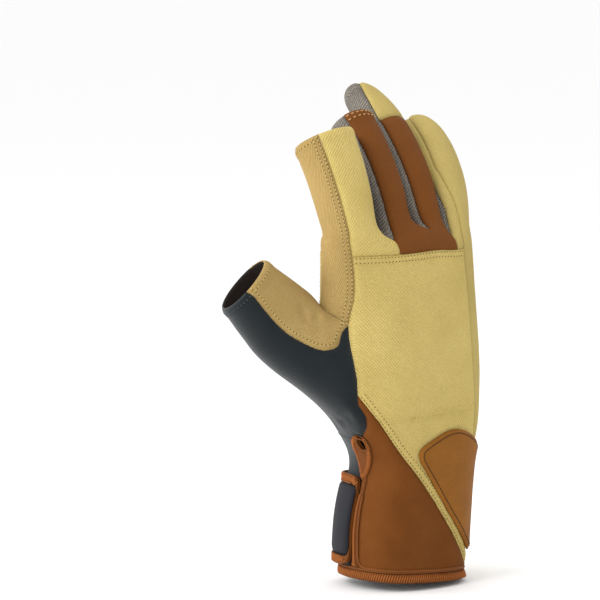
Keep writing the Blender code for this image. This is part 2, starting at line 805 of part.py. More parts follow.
def main():
    for item in list(bpy.data.objects):
        bpy.data.objects.remove(item)
    collection = bpy.data.collections.new("fishing_glove")
    bpy.context.scene.collection.children.link(collection)
    surface, ring_root = smoothed(hand_cage(), SMOOTHING), ring_finger_root()
    paint_seams(surface, ring_root)
    materials = {name: make_material(name, *MATERIALS[name]) for name in MATERIALS}
    for name, finish in PANELS:
        outer = padding if name == "back_panel" else WALL
        add_node(collection, name, shell(surface, [name], 0, outer), materials[finish])
    for name in GUSSETS:
        add_node(collection, name, shell(surface, [name], 0, KNIT_WALL, rim=KNIT_RIM),
                 materials["grey_knit"])
    add_node(collection, "hem_binding",
             shell(surface, ["hem_binding"], -HEM_FOLD, WALL + BINDING_RISE), materials["binding"])
    add_overlays(collection, surface, materials)


main()
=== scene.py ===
"""The looks of a right-hand fishing glove, as worn: cloth, stitching, bindings, leather and rubber.

Units are metres. The wrist opening is centred on the origin, the fingers point up +Z,
the back of the hand faces -Y, the palm faces +Y and the thumb is on the -X side.
"""

import math
from collections import namedtuple

import bmesh
import bpy
from mathutils import Matrix, Vector, geometry, kdtree, noise
from mathutils.bvhtree import BVHTree


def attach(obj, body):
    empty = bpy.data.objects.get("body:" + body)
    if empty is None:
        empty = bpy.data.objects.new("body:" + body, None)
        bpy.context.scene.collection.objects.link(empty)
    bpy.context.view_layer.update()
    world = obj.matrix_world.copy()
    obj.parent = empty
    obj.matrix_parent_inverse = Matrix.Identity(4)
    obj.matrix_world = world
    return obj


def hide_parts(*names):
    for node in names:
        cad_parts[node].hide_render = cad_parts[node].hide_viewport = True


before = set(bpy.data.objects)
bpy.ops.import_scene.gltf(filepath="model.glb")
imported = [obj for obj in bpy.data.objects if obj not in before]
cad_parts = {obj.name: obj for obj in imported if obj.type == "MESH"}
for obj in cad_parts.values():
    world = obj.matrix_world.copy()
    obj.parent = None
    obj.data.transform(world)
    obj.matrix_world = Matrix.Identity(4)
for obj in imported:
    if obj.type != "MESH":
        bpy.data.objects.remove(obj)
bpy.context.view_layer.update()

MM = 0.001

# Driving sizes of the hand form, which is the inside of the glove
PALM_LENGTH = 168 * MM
HALF_BREADTH = 44 * MM
HALF_DEPTH = 24 * MM
INDEX_LENGTH = 50.5 * MM
MIDDLE_LENGTH = 60 * MM
RING_LENGTH = 87 * MM
LITTLE_LENGTH = 65 * MM
INDEX_WIDTH = 28.5 * MM
MIDDLE_WIDTH = 22 * MM
RING_WIDTH = 21 * MM
LITTLE_WIDTH = 22 * MM
THUMB_LENGTH = 62 * MM
THUMB_WIDTH = 29 * MM
THUMB_SPREAD = 46.0
THUMB_FORWARD = 17.5

# Cloth, binding and trim
WALL = 1.2 * MM
KNIT_WALL = 1.0 * MM
GAP = 0.3 * MM
PAD_RISE = 1.8 * MM
HEM_HEIGHT = 5 * MM
HEM_FOLD = 0.8 * MM
BINDING_RISE = 0.9 * MM
PATCH_WALL = 1.0 * MM
PATCH_CLEARANCE = 0.5 * MM
LEATHER_WALL = 1.8 * MM
STRAP_WALL = 1.2 * MM
STRAP_BOTTOM = 6.5 * MM
STRAP_HEIGHT = 43 * MM
STRAP_TRIM = 4.5 * MM
STRAP_CORNER = 2.5 * MM
WINDOW_CORNER = 1.6 * MM
RUBBER_WALL = 1.2 * MM
EDGE_TRIM = 4 * MM
SLIT_LENGTH = 8.5 * MM
SLIT_WIDTH = 5 * MM
LOOP_CORNER = 1.6 * MM
PATCH_CORNER = 4 * MM
LEATHER_CORNER = 3.5 * MM

SMOOTHING = 3
COLUMNS = 20
PATH_STEPS = 16

# An edge is drawn in at a corner by no more than the distance over this share
SHARPEST_CORNER = 0.3

# Powers are kept below this, where a field is far from its line
LARGEST_POWER = 60.0

# A cut line takes the vertices nearer to it than this share of an edge
NEAR_THE_CUT = 0.35

# Across the hand: where each column of the form lies, as a share of the half breadth,
# over the back and over the palm
OVER_BACK = (-1.0, -0.83, -0.57, -0.26, -0.02, 0.25, 0.41, 0.59, 0.77, 0.91, 1.0)
OVER_PALM = (-1.0, -0.87, -0.70, -0.47, -0.18, 0.10, 0.31, 0.53, 0.74, 0.90, 1.0)
SQUARENESS = 2.6

# Up the hand: height as a share of PALM_LENGTH, thumb side and little-finger side as
# shares of HALF_BREADTH, back and palm as shares of HALF_DEPTH
Section = namedtuple("Section", "height thumb_side little_side back palm")
HAND = (
    Section(0.00, 0.71, 0.69, 1.02, 1.02),
    Section(0.10, 0.73, 0.70, 1.00, 1.00),
    Section(0.22, 0.71, 0.74, 0.97, 0.97),
    Section(0.34, 0.46, 0.815, 0.95, 0.94),
    Section(0.42, 0.70, 0.91, 0.96, 0.99),
    Section(0.505, 0.95, 0.95, 0.97, 1.04),
    Section(0.63, 1.00, 0.955, 0.90, 1.00),
    Section(0.76, 1.05, 0.94, 0.79, 0.92),
    Section(0.87, 1.05, 0.935, 0.67, 0.86),
    Section(0.963, 1.07, 0.935, 0.56, 0.81),
    Section(1.00, 1.09, 0.92, 0.48, 0.77),
)

# How far the back of a crotch reaches up past the top section, by its column
CROTCH_REACH = {3: -3 * MM, 5: 3.5 * MM, 7: -4 * MM}
CROTCH_DROP = 2 * MM

# The wrist's lower edge rises this much for each unit of breadth towards the thumb side
HEM_SLANT = 0.06

# The rows and columns of the form that the thumb grows from, and how many corners
# its rings are turned by
THUMB_ROWS = (5, 7)
THUMB_COLUMNS = (1, 0, COLUMNS - 1, COLUMNS - 2)
THUMB_TURN = 1.5
THUMB_ROOT = Section(0.625, 0.77, 0.0, 0.0, 0.375)

# Along a finger: station as a share of its length, width and thickness as shares of its width
Station = namedtuple("Station", "along width thickness")
OPEN_FINGER = (
    Station(0.07, 0.77, 0.92),
    Station(0.24, 0.86, 0.93),
    Station(0.50, 0.94, 0.92),
    Station(0.76, 1.00, 0.90),
    Station(1.00, 1.04, 0.90),
)
CLOSED_FINGER = (
    Station(0.05, 0.80, 0.94),
    Station(0.18, 0.88, 0.96),
    Station(0.38, 0.97, 0.95),
    Station(0.60, 0.99, 0.91),
    Station(0.79, 0.94, 0.85),
    Station(0.93, 0.78, 0.70),
    Station(1.00, 0.46, 0.41),
)
THUMB = (
    Station(0.47, 1.33, 1.02),
    Station(0.64, 1.25, 0.99),
    Station(0.82, 1.12, 0.95),
    Station(1.00, 1.00, 0.90),
)
THUMB_SAG = 0.07

Finger = namedtuple("Finger", "name first last length width root_tilt tip_tilt lean stations closed")
FINGERS = (
    Finger("index", 0, 3, INDEX_LENGTH, INDEX_WIDTH, 4, 28, -7, OPEN_FINGER, False),
    Finger("middle", 3, 5, MIDDLE_LENGTH, MIDDLE_WIDTH, 5, 49, -4, OPEN_FINGER, False),
    Finger("ring", 5, 7, RING_LENGTH, RING_WIDTH, 9, 66, -2, CLOSED_FINGER, True),
    Finger("little", 7, 10, LITTLE_LENGTH, LITTLE_WIDTH, 11, 62, 9, CLOSED_FINGER, True),
)

# How far to each side of its middle a finger's own cut reaches, as a share of its width
FINGER_REACH = 0.6

# A zone is the part of the form that one sewn panel covers, and the number of a
# zone is its place in this list
ZONES = (
    "back_panel",
    "index_back",
    "knuckle_panel",
    "ring_tip_back",
    "little_back",
    "ulnar_panel",
    "web_panel",
    "thumb_shell",
    "palm_base",
    "middle_palm",
    "ring_palm",
    "ring_tip_palm",
    "little_palm",
    "index_middle_gusset",
    "middle_ring_gusset",
    "ring_little_gusset",
    "cuff_body",
    "hem_binding",
    "waste",
)
ZONE = {name: number for number, name in enumerate(ZONES)}

# Which zone each of a finger's eight sides belongs to, from the thumb side over the back
FINGER_SIDES = {
    "index": ("web_panel", "index_back", "index_back", "index_middle_gusset",
              "index_middle_gusset", "palm_base", "palm_base", "web_panel"),
    "middle": ("index_middle_gusset", "knuckle_panel", "knuckle_panel", "middle_ring_gusset",
               "middle_ring_gusset", "middle_palm", "middle_palm", "index_middle_gusset"),
    "ring": ("middle_ring_gusset", "knuckle_panel", "knuckle_panel", "ring_little_gusset",
             "ring_little_gusset", "ring_palm", "ring_palm", "middle_ring_gusset"),
    "little": ("ring_little_gusset", "little_back", "little_back", "ulnar_panel",
               "ulnar_panel", "little_palm", "little_palm", "ring_little_gusset"),
}
ULNAR_COLUMNS = (9, 10)
BACK_AT_KNUCKLES = ("index_back", "index_back", "knuckle_panel", "knuckle_panel",
                    "knuckle_panel", "knuckle_panel", "little_back", "little_back")
THUMB_SIDES = ("thumb_shell", "thumb_shell", "thumb_shell", "thumb_shell", "thumb_shell",
               "web_panel", "web_panel", "web_panel", "web_panel", "thumb_shell")

# Seams on the back, in x and z: the slanting edge of the back panel over the cuff
DIAGONAL_START = (-0.80 * HALF_BREADTH, 0.535 * PALM_LENGTH)
DIAGONAL_END = (0.61 * HALF_BREADTH, 0.018 * PALM_LENGTH)
RING_CAP = 0.65

# The seam between the back and the side panel of the little finger: its height and how far
# across it lies
ULNAR_SEAM = [(z * PALM_LENGTH, x * HALF_BREADTH) for z, x in (
    (0.33, 1.00), (0.375, 0.70), (0.43, 0.67), (0.48, 0.665), (0.57, 0.63), (0.70, 0.615), (0.89, 0.625),
    (0.965, 0.66), (1.03, 0.68), (1.08, 0.675), (1.13, 0.64), (1.18, 0.615), (1.22, 0.59))]

# How high the web panel ends on the palm side
WEB_EDGE = 0.715 * PALM_LENGTH

# The padded field of the back panel
PAD_BOTTOM = 0.45 * PALM_LENGTH
PAD_TOP = 0.94 * PALM_LENGTH
PAD_MIDDLE = 0.04 * HALF_BREADTH
PAD_HALF_BREADTH = 0.80 * HALF_BREADTH
PAD_STEEPNESS = 2.2

# The palm patch's corners, in x and z
PALM_PATCH = [(x * HALF_BREADTH, z * PALM_LENGTH) for x, z in (
    (-1.15, 0.97), (-0.30, 0.965), (0.10, 0.89), (0.33, 0.77), (0.37, 0.66), (0.37, 0.38),
    (-0.22, 0.375), (-1.15, 0.60))]

# The leather patch's corners, round the wrist and up
WRIST = 0.75 * HALF_BREADTH
LEATHER_PATCH = [(u * WRIST, z * PALM_LENGTH) for u, z in (
    (-2.62, 0.045), (-2.96, 0.25), (-2.80, 0.385), (-2.15, 0.457), (-1.05, 0.390))]

# The slit's middle and the corners of the loop of binding round it, round the wrist and up
SLIT_PLACE = (-0.16 * WRIST, 0.412 * PALM_LENGTH)
SLIT_LOOP = [(u * WRIST, z * PALM_LENGTH) for u, z in (
    (-0.09, 0.286), (-0.27, 0.342), (-0.345, 0.384), (-0.355, 0.42), (-0.27, 0.443), (-0.09, 0.447),
    (0.07, 0.43), (0.19, 0.395), (0.20, 0.345), (0.05, 0.286))]

# Where the strap starts and ends, round the wrist
STRAP_START = -0.01 * WRIST
STRAP_END = 2.86 * WRIST

# How the finer surface lies on flat cloth, rolls down into its seams and is hemmed
SEAM = 0.02 * MM
HEM_SINK = 0.1 * MM
KNIT_SHARE = 0.4
THUMB_CLOTH_START = 0.30
ROLL = 2.2 * MM
ROLL_DROP = 0.85 * MM
EDGE_STEP = 0.5 * MM
TIP_HEM = 5 * MM
TIP_HEM_RISE = 0.35 * MM
TIP_HEM_STEP = 0.8 * MM
TIP_REACH = 26 * MM

# Soft creases and ridges: a line between two places on the form, its half width and its
# height, all in millimetres
Fold = namedtuple("Fold", "start end width height")
FOLDS = (
    Fold((-27.5, -16.8, 79.7), (-12, -22.3, 81.3), 2.4, -1.0),
    Fold((-12, -22.3, 81.3), (5, -23.2, 82.0), 2.4, -1.0),
    Fold((5, -23.2, 82.0), (22, -21.5, 82.8), 2.4, -1.0),
    Fold((-51.7, 1.9, 132.5), (-54.0, -0.9, 119.6), 1.5, -1.6),
    Fold((-49.6, 0.4, 131.5), (-52.0, -2.5, 120.5), 1.6, 0.8),
    Fold((-58.2, 5.6, 136.0), (-57.0, 3.6, 128.5), 1.5, -1.2),
    Fold((-39.5, -9.3, 87.5), (-35.3, -9.6, 80.8), 1.2, 1.1),
    Fold((-35.3, -9.6, 80.8), (-34.9, -2.6, 76.0), 1.2, 1.1),
    Fold((-37.0, -5.5, 83.0), (-36.2, 1.0, 79.5), 1.3, -1.2),
    Fold((-37.5, 5.1, 79.7), (-32.9, 4.0, 73.0), 1.2, 1.0),
    Fold((-36.0, 9.0, 80.0), (-32.0, 9.5, 74.5), 1.4, -0.6),
    Fold((-52.0, -4.5, 116.5), (-40.5, -12.8, 100.5), 4.5, 0.6),
    Fold((-61.0, 1.0, 121.0), (-48.0, -1.0, 95.5), 4.0, -0.5),
    Fold((-20, 21, 118), (12, 22, 104), 5.0, -0.8),
    Fold((-30, 20, 108), (-8, 22, 92), 4.5, -0.7),
    Fold((-5, 22, 132), (26, 19, 128), 4.5, -0.7),
)

# The unevenness of worn cloth: broad and fine noise, by its scale and its height
Wave = namedtuple("Wave", "scale height")
WAVES = (Wave(38.0, 0.35 * MM), Wave(110.0, 0.14 * MM))

# Stitches, painted needle-hole shade, overlock threads and cords: their pitches, and half sizes
# along, across and up. A thread's half breadth is a share of its pitch, and stitches, cords and
# the dark cord of the leather groove's painted shade are lifted by a share of their half height
STITCH_PITCH = 1.9 * MM
STITCH = (0.62 * MM, 0.26 * MM, 0.26 * MM)
DASH_PITCH = 2.5 * MM
DASH = (0.95 * MM, 0.30 * MM, 0.30 * MM)
NEEDLE_HOLE_SHADE = (0.36 * MM, 0.34 * MM, 0.10 * MM)
STITCH_LIFT = 0.3
SNAP_HEIGHT = 5 * MM
THREAD_PITCH = 1.2 * MM
THREAD_SHARE = 0.34
THREAD_RISE = 0.4 * MM
THREAD_SLANT = 0.3
CORD_STEP = 1.2 * MM
PIPING = 0.55 * MM
CORD_SIDES = 8
CORD_LIFT = 0.3
SHADE_CORD_LIFT = -0.5

# How close the ends of a closed line lie, and how often a line moved in is smoothed
CLOSED = 0.1 * MM
LINE_ROUNDS = 3

# How far in from the edge of each piece its rows lie, and how far back from its tip or hem
ROWS = (1.1 * MM, 3.3 * MM)
WEB_ROW = 2.4 * MM
PATCH_ROW = 2.2 * MM
LEATHER_ROW = 1.9 * MM
TIP_ROW = 2.6 * MM
HEM_ROWS = (1.6 * MM, 3.9 * MM)

# The rows that cross the wrist and the palm: how high they lie
WRIST_ROWS = (81.5 * MM, 84.0 * MM)
WRIST_ROW_RISE = 0.045
PALM_ROW = 0.425 * PALM_LENGTH

# The dark cord that paints the shade of the leather's groove, and how broad the threads lie on the
# loop and on the strap's trim, and where their middle and the strap's cord lie in from the edge
GROOVE_SHADE_CORD = 0.26 * MM
LOOP_CORD = 0.6 * MM
LOOP_THREADS = 2.8 * MM
LOOP_ROW = 1.4 * MM
STRAP_THREADS = 0.72 * STRAP_TRIM
STRAP_ROW = 0.36 * STRAP_TRIM
STRAP_CORD = 0.86 * STRAP_TRIM

# The palm patch ends at the side of the hand. It is thin beside the index finger and grows
# to its full wall across the palm
PATCH_SIDE = 4 * MM
PATCH_THIN = WALL + GAP + 0.15 * MM
PATCH_FULL = WALL + GAP + PATCH_CLEARANCE + PATCH_WALL
PATCH_GROWTH = (-0.92 * HALF_BREADTH, -0.55 * HALF_BREADTH)

# The piping beside the edge trim: how far from the trim it runs, how high above the hem it
# turns and how wide its turn is
EDGE_PIPING = 1.5 * MM
TURN_HEIGHT = 6.3 * MM
TURN_RADIUS = 5 * MM
TURN_STEPS = 6
DIAGONAL_TURN = -2.25 * WRIST

# How far in from the strap's start its window begins
STRAP_TUCK = 0.6 * MM

# The seams that the finer surface draws by its own tables. Where the suede meets the cuff
# below the wrist, by height and how far round
CUFF_SEAM = [(z * MM, u * MM) for z, u in (
    (64.0, 2.0), (70.0, -4.0), (73.9, -8.1), (76.8, -11.2), (81.9, -12.4), (86.2, -11.9), (90.5, -10.8),
    (92.5, -60.0))]

# Where the back panel meets the thumb and then the web panel, and the side of the web
# panel's lower corner, by height and how far to the right, as the camera sees them
THUMB_SEAM = [(z * MM, h * MM) for z, h in (
    (91.6, -21.3), (99.0, -22.3), (107.8, -23.9), (116.4, -25.7), (122.0, -26.6), (127.8, -26.9),
    (134.0, -25.6), (139.7, -24.1), (149.5, -23.9))]
WEB_APEX = 127.8 * MM
WEB_SIDE = [(z * MM, h * MM) for z, h in (
    (114.0, -31.4), (117.0, -31.4), (122.1, -30.5), (124.5, -29.6), (127.8, -26.9))]

# The web panel's lower edge, by how far to the right and height
WEB_BOTTOM = [(h * MM, z * MM) for h, z in (
    (-80.0, 147.5), (-71.9, 142.0), (-67.4, 136.0), (-61.6, 128.9), (-55.9, 123.6), (-50.1, 120.0),
    (-44.2, 117.0), (-39.9, 115.5), (-35.3, 115.75), (-31.6, 116.9))]
WEB_SOFTNESS = 0.9 * MM

# How far down the knit between the ring and little fingers stays in sight, by height and
# how far to the right, and how steeply it narrows
KNIT_TOP = (186.5 * MM, 16.8 * MM)
KNIT_SLOPE = 1.9
KNIT_BACK = 0.12

# The knit edge of the ring fingertip's back: how far towards the palm and across it lies
RING_SEAM = [(y * HALF_DEPTH, x * HALF_BREADTH) for y, x in (
    (0.95, 0.125), (1.34, 0.147), (1.64, 0.18), (1.89, 0.232), (2.2, 0.32))]

# The camera and the light
AZIMUTH = -38
ELEVATION = 7
CAMERA_DISTANCE = 2.0
SENSOR = 36.0
VIEW_WIDTH = 600 * 0.49 * MM
VIEW_CENTRE = (-49.98 * MM, 134.75 * MM)
FLOOR_RADIUS = 80.0
FLOOR_DROP = 3 * MM
FLOOR_SIDES = 64
FLOOR_SHADE = 0.96
FLOOR_ROUGHNESS = 0.9

# The sky is brightest behind the glove and to its left, by the camera's directions, and
# falls off to a share of that on the other side, above a white band along the horizon
SKY = 1.12
SKY_SHADE = 0.5
SKY_BAND = 5.0
SKY_AXIS = (-0.75, 0.25, -0.6)
SKY_SPREAD = (-1.0, 0.3)

# Each lamp's place by the camera's directions, its size and its power, aimed at one height
Lamp = namedtuple("Lamp", "name sideways upwards forwards size power")
LAMPS = (
    Lamp("key", -0.8, 0.7, 0.8, 0.5, 5.5),
    Lamp("rim", -1.0, 0.15, 0.0, 0.4, 4.0),
    Lamp("top", 0.1, 1.1, 0.1, 0.7, 2.0),
)
LAMP_AIM = 0.7 * PALM_LENGTH

# The sewn panels, each with its finish and its material slot
Panel = namedtuple("Panel", "node finish slot")
PANELS = (
    Panel("back_panel", "tan_twill", "tan_twill"),
    Panel("index_back", "tan_cross_twill", "tan_twill"),
    Panel("knuckle_panel", "brown_jersey", "brown_jersey"),
    Panel("ring_tip_back", "fine_shaded_twill", "tan_twill"),
    Panel("little_back", "fine_shaded_twill", "tan_twill"),
    Panel("ulnar_panel", "fine_shaded_twill", "tan_twill"),
    Panel("web_panel", "warm_twill", "tan_twill"),
    Panel("thumb_shell", "suede", "black_suede"),
    Panel("palm_base", "suede", "black_suede"),
    Panel("middle_palm", "tan_twill", "tan_twill"),
    Panel("ring_palm", "tan_twill", "tan_twill"),
    Panel("ring_tip_palm", "suede", "black_suede"),
    Panel("little_palm", "tan_twill", "tan_twill"),
    Panel("cuff_body", "brown_neoprene", "neoprene"),
)
GUSSETS = ("index_middle_gusset", "middle_ring_gusset", "ring_little_gusset")

# Woven and knitted finishes: their ribs' pitch, slant in degrees and depth, and how dark the
# painted shade in the furrows between the ribs is
TAN, TAN_SHADE = (0.71, 0.56, 0.20), (0.51, 0.385, 0.115)
Weave = namedtuple("Weave", "name light dark pitch slant depth roughness furrow")
WEAVES = (
    Weave("tan_twill", TAN, TAN_SHADE, 1.15 * MM, -52, 0.35 * MM, 0.85, 0.6),
    Weave("tan_cross_twill", TAN, TAN_SHADE, 1.15 * MM, 38, 0.3 * MM, 0.85, 0.6),
    # The finer twill is also coloured darker than the tan, as painted shade over the little finger, the
    # hand's side and the ring fingertip
    Weave("fine_shaded_twill", (0.53, 0.415, 0.145), (0.38, 0.285, 0.085), 0.7 * MM, 38, 0.1 * MM, 0.85, 0.35),
    Weave("warm_twill", (0.52, 0.36, 0.14), (0.37, 0.245, 0.08), 1.15 * MM, 55, 0.3 * MM, 0.85, 0.6),
    Weave("brown_jersey", (0.185, 0.060, 0.009), (0.13, 0.04, 0.006), 0.5 * MM, 90, 0.04 * MM, 0.75, 0.3),
    Weave("grey_rib", (0.35, 0.315, 0.265), (0.12, 0.106, 0.09), 1.3 * MM, 25, 0.55 * MM, 0.9, 0.6),
)

# Finishes with a grain and no weave: the scales of their cells, their nap and their broad
# shading, and how deep the grain is
Grain = namedtuple("Grain", "name light dark cell nap depth roughness sheen specular broad",
                   defaults=(0.0, 0.15, 40.0))
GRAINS = (
    Grain("brown_neoprene", (0.165, 0.053, 0.0095), (0.105, 0.031, 0.005), 1100, 1500, 0.10 * MM, 0.85,
          0.0, 0.1, 90.0),
    Grain("suede", (0.010, 0.0145, 0.0165), (0.0045, 0.007, 0.0085), 1500, 2500, 0.08 * MM, 0.85, 0.25,
          0.12),
    Grain("lining", (0.030, 0.022, 0.018), (0.018, 0.012, 0.010), 1200, 2500, 0.1 * MM, 0.95),
    Grain("binding_tape", (0.165, 0.052, 0.0115), (0.10, 0.032, 0.007), 1200, 2500, 0.1 * MM, 0.85),
    Grain("binding_thread", (0.35, 0.11, 0.023), (0.25, 0.075, 0.015), 1500, 4000, 0.05 * MM, 0.65),
    Grain("piping_cord", (0.20, 0.065, 0.014), (0.12, 0.038, 0.008), 1500, 4000, 0.05 * MM, 0.7),
    Grain("brown_hide", (0.29, 0.110, 0.013), (0.10, 0.034, 0.005), 700, 1800, 0.14 * MM, 0.6, 0.0, 0.12,
          60.0),
    Grain("black_rubber", (0.016, 0.0165, 0.021), (0.011, 0.011, 0.014), 2500, 3500, 0.04 * MM, 0.6, 0.0,
          0.12),
    Grain("tan_thread", (0.62, 0.48, 0.17), (0.45, 0.33, 0.11), 1500, 4000, 0.05 * MM, 0.7),
    Grain("light_thread", (0.66, 0.40, 0.16), (0.50, 0.29, 0.10), 1500, 4000, 0.05 * MM, 0.7),
    Grain("grey_thread", (0.07, 0.08, 0.09), (0.04, 0.045, 0.05), 1500, 4000, 0.05 * MM, 0.7),
    # This dark colour is real thread on the leather, and painted shade in the leather's groove and in the
    # needle holes of the knuckle rows
    Grain("dark_thread_and_shade", (0.055, 0.024, 0.010), (0.03, 0.014, 0.007), 1500, 4000, 0.05 * MM, 0.7),
    # Painted shade: the dark colour of the beads that stand for the needle holes' shade
    Grain("needle_hole_shade", (0.16, 0.11, 0.035), (0.10, 0.065, 0.02), 1500, 4000, 0.05 * MM, 1.0),
)

# How threads waver, and how a twill's ribs break into floats: the share of the ribs' pitch,
# the turn in degrees and the share of the height
DRIFT_SCALE = 260.0
DRIFT = 0.7 * MM
FLOAT_PITCH = 0.8
FLOAT_TURN = 74.0
FLOAT_SHARE = 0.35

# How every colour mottles: the shares of its broad and its fine noise, the range of their sum
# and how far that takes the light colour to the dark one. And how steep a grain's pits are
BROAD_SHARE = 0.6
FINE_SHARE = 0.5
MOTTLE_RANGE = (0.38, 0.75)
MOTTLE_DEPTH = 0.55
PIT_STEEPNESS = 4.0


def strap_corners(margin):
    """The strap's outline, or that of its window when a margin is taken off it."""
    bottom = STRAP_BOTTOM + margin
    top = STRAP_BOTTOM + STRAP_HEIGHT - margin
    start = STRAP_START + min(margin, STRAP_TUCK)
    end = STRAP_END - margin
    return [(start, bottom), (start, top), (end, top), (end, bottom)]


def edge_trim():
    """The four sides of the trim down the edge of the cuff, beside the strap."""
    end = STRAP_START - GAP
    start = end - EDGE_TRIM
    top = STRAP_BOTTOM + STRAP_HEIGHT
    return [
        lambda point: round_the_wrist(point) - start,
        lambda point: end - round_the_wrist(point),
        lambda point: above_hem(point)[1] - STRAP_BOTTOM,
        lambda point: top - above_hem(point)[1],
    ]


def hem_level(across):
    """How high the wrist's slanting edge lies at a place across the breadth."""
    return -HEM_SLANT * across


def section_point(section, column):
    """The point of one column on a cross section of the hand."""
    over_back = column <= COLUMNS // 2
    across = OVER_BACK[column] if over_back else OVER_PALM[COLUMNS - column]
    side = section.thumb_side if across < 0 else section.little_side
    share = (1 - abs(across) ** SQUARENESS) ** (1 / SQUARENESS)
    depth = -section.back if over_back else section.palm
    x = across * side * HALF_BREADTH
    z = section.height * PALM_LENGTH
    if section is HAND[0]:
        z += hem_level(x)
    if section is HAND[-1] and over_back:
        z += CROTCH_REACH.get(column, 0)
    return Vector((x, share * depth * HALF_DEPTH, z))


def hand_zone(row, column):
    """The zone of a face of the hand, by its row up from the wrist and its column."""
    at_knuckles = row >= len(HAND) - 2
    if column == 0 and row < THUMB_ROWS[0] - 1:
        return "back_panel"
    if column in (0, COLUMNS - 1):
        return "web_panel" if row >= THUMB_ROWS[1] else "thumb_shell"
    if column == COLUMNS - 2 and row < THUMB_ROWS[1]:
        return "thumb_shell"
    if column in ULNAR_COLUMNS:
        return "ulnar_panel"
    if column < ULNAR_COLUMNS[0]:
        return BACK_AT_KNUCKLES[column - 1] if at_knuckles else "back_panel"
    return "palm_base"


def swell(corners):
    """How much larger a cage ring is than the smooth ring that it gives."""
    return 3 / (2 + math.cos(2 * math.pi / corners))


def round_the_wrist(point):
    """How far a point lies round the wrist from the thumb side, positive over the palm."""
    return WRIST * math.atan2(point.y, -point.x)


def rounded(corners, softness, place):
    """A field that is positive inside a convex outline with rounded corners."""
    def field(point):
        u, v = place(point)
        total = 0.0
        for (u0, v0), (u1, v1) in zip(corners, corners[1:] + corners[:1]):
            length = math.hypot(u1 - u0, v1 - v0)
            inside = ((u - u0) * (v1 - v0) - (v - v0) * (u1 - u0)) / length
            total += math.exp(min(LARGEST_POWER, -inside / softness))
        return -softness * math.log(total)
    return field


def face_on(point):
    """A point's place across the palm and up."""
    return point.x, point.z


def unrolled(point):
    """A point's place round the wrist and up."""
    return round_the_wrist(point), point.z


def above_hem(point):
    """A point's place round the wrist and above the wrist's slanting edge."""
    return round_the_wrist(point), point.z - hem_level(point.x)


def beside_line(point, start, end):
    """How far a point lies to the right of a line up the form, in x and z."""
    (x0, z0), (x1, z1) = start, end
    length = math.hypot(x1 - x0, z1 - z0)
    return ((point.x - x0) * (z1 - z0) - (point.z - z0) * (x1 - x0)) / length


def seam_place(corners, along):
    """Where a seam lies across the form, at a place along it."""
    for (start, first), (end, second) in zip(corners, corners[1:]):
        if along < end:
            share = max(0.0, (along - start) / (end - start))
            return first + (second - first) * share
    return corners[-1][1]


def ulnar_side(point):
    """Positive past the side seam of the little finger and the hand."""
    return point.x - seam_place(ULNAR_SEAM, point.z)


def diagonal(point):
    """Positive below the slanting edge of the back panel, over the cuff."""
    return beside_line(point, DIAGONAL_START, DIAGONAL_END)


def tip_plane(finger, root, along):
    """A field that is positive past a share of a finger's length, on that finger only."""
    centre, across, _, forward = finger_path(finger, root, along)

    def field(point):
        if abs((point - centre).dot(across)) > FINGER_REACH * finger.width:
            return -finger.width
        return (point - centre).dot(forward)
    return field


def slit_field(point):
    """Positive inside the oval of the slit."""
    centre_u, centre_z = SLIT_PLACE
    u, v = unrolled(point)
    half_u, half_v = SLIT_WIDTH / 2, SLIT_LENGTH / 2
    return (1 - math.hypot((u - centre_u) / half_u, (v - centre_z) / half_v)) * half_u


def padding(point):
    """How far the padded back panel stands proud of the wall, dying away at its edges."""
    along = (point.z - PAD_BOTTOM) / (PAD_TOP - PAD_BOTTOM)
    across = (point.x - PAD_MIDDLE) / PAD_HALF_BREADTH
    if not 0 < along < 1 or abs(across) > 1:
        return WALL
    return WALL + PAD_RISE * min(1.0, PAD_STEEPNESS * math.sin(math.pi * along)) * (1 - across ** 4) ** 2


def arc_round_the_hand():
    """How far each column lies round the hand at its broadest section, and the whole way round."""
    points = [section_point(HAND[6], column) for column in range(COLUMNS)]
    reach = [0.0]
    for start, end in zip(points, points[1:] + points[:1]):
        reach.append(reach[-1] + (end - start).length)
    return reach


ARC = arc_round_the_hand()


def across_the_cloth(column, zone):
    """Where a column lies across the cloth: the palm's columns count back from the thumb side."""
    if column > COLUMNS // 2 and zone != "ulnar_panel":
        return ARC[column] - ARC[COLUMNS]
    return ARC[column]


def lay_cloth(bm, face, zone, places):
    """Paint a face with its zone and lay its corners on the flat cloth."""
    face.material_index = ZONE[zone]
    cloth = bm.loops.layers.uv["cloth"]
    for loop in face.loops:
        loop[cloth].uv = places[loop.vert]


def extrude_ring(bm, face, ring, targets):
    """Extrude the face that the ring bounds, move it to the targets, and return it with its ring."""
    made = bmesh.ops.extrude_discrete_faces(bm, faces=[face])["faces"][0]
    moved = [min(made.verts, key=lambda v: (v.co - old.co).length) for old in ring]
    for vert, target in zip(moved, targets):
        vert.co = target
    return made, moved


def paint_ring(bm, ring, cap, sides, place):
    """Paint the faces just under a ring, and lay their cloth by side, end of the side and which ring."""
    for number, name in enumerate(sides):
        ends = (ring[number], ring[(number + 1) % len(ring)])
        edge = bm.edges.get(ends)
        for face in edge.link_faces:
            if face is cap:
                continue
            places = {ends[0]: place(number, 0, True), ends[1]: place(number, 1, True)}
            for vert in face.verts:
                if vert not in places:
                    near_first = bm.edges.get((vert, ends[0])) is not None
                    near_second = bm.edges.get((vert, ends[1])) is not None
                    if near_first and near_second:
                        places[vert] = place(number, 0, False)
                    else:
                        places[vert] = place(number, 0 if near_first else 1, False)
            lay_cloth(bm, face, name, places)


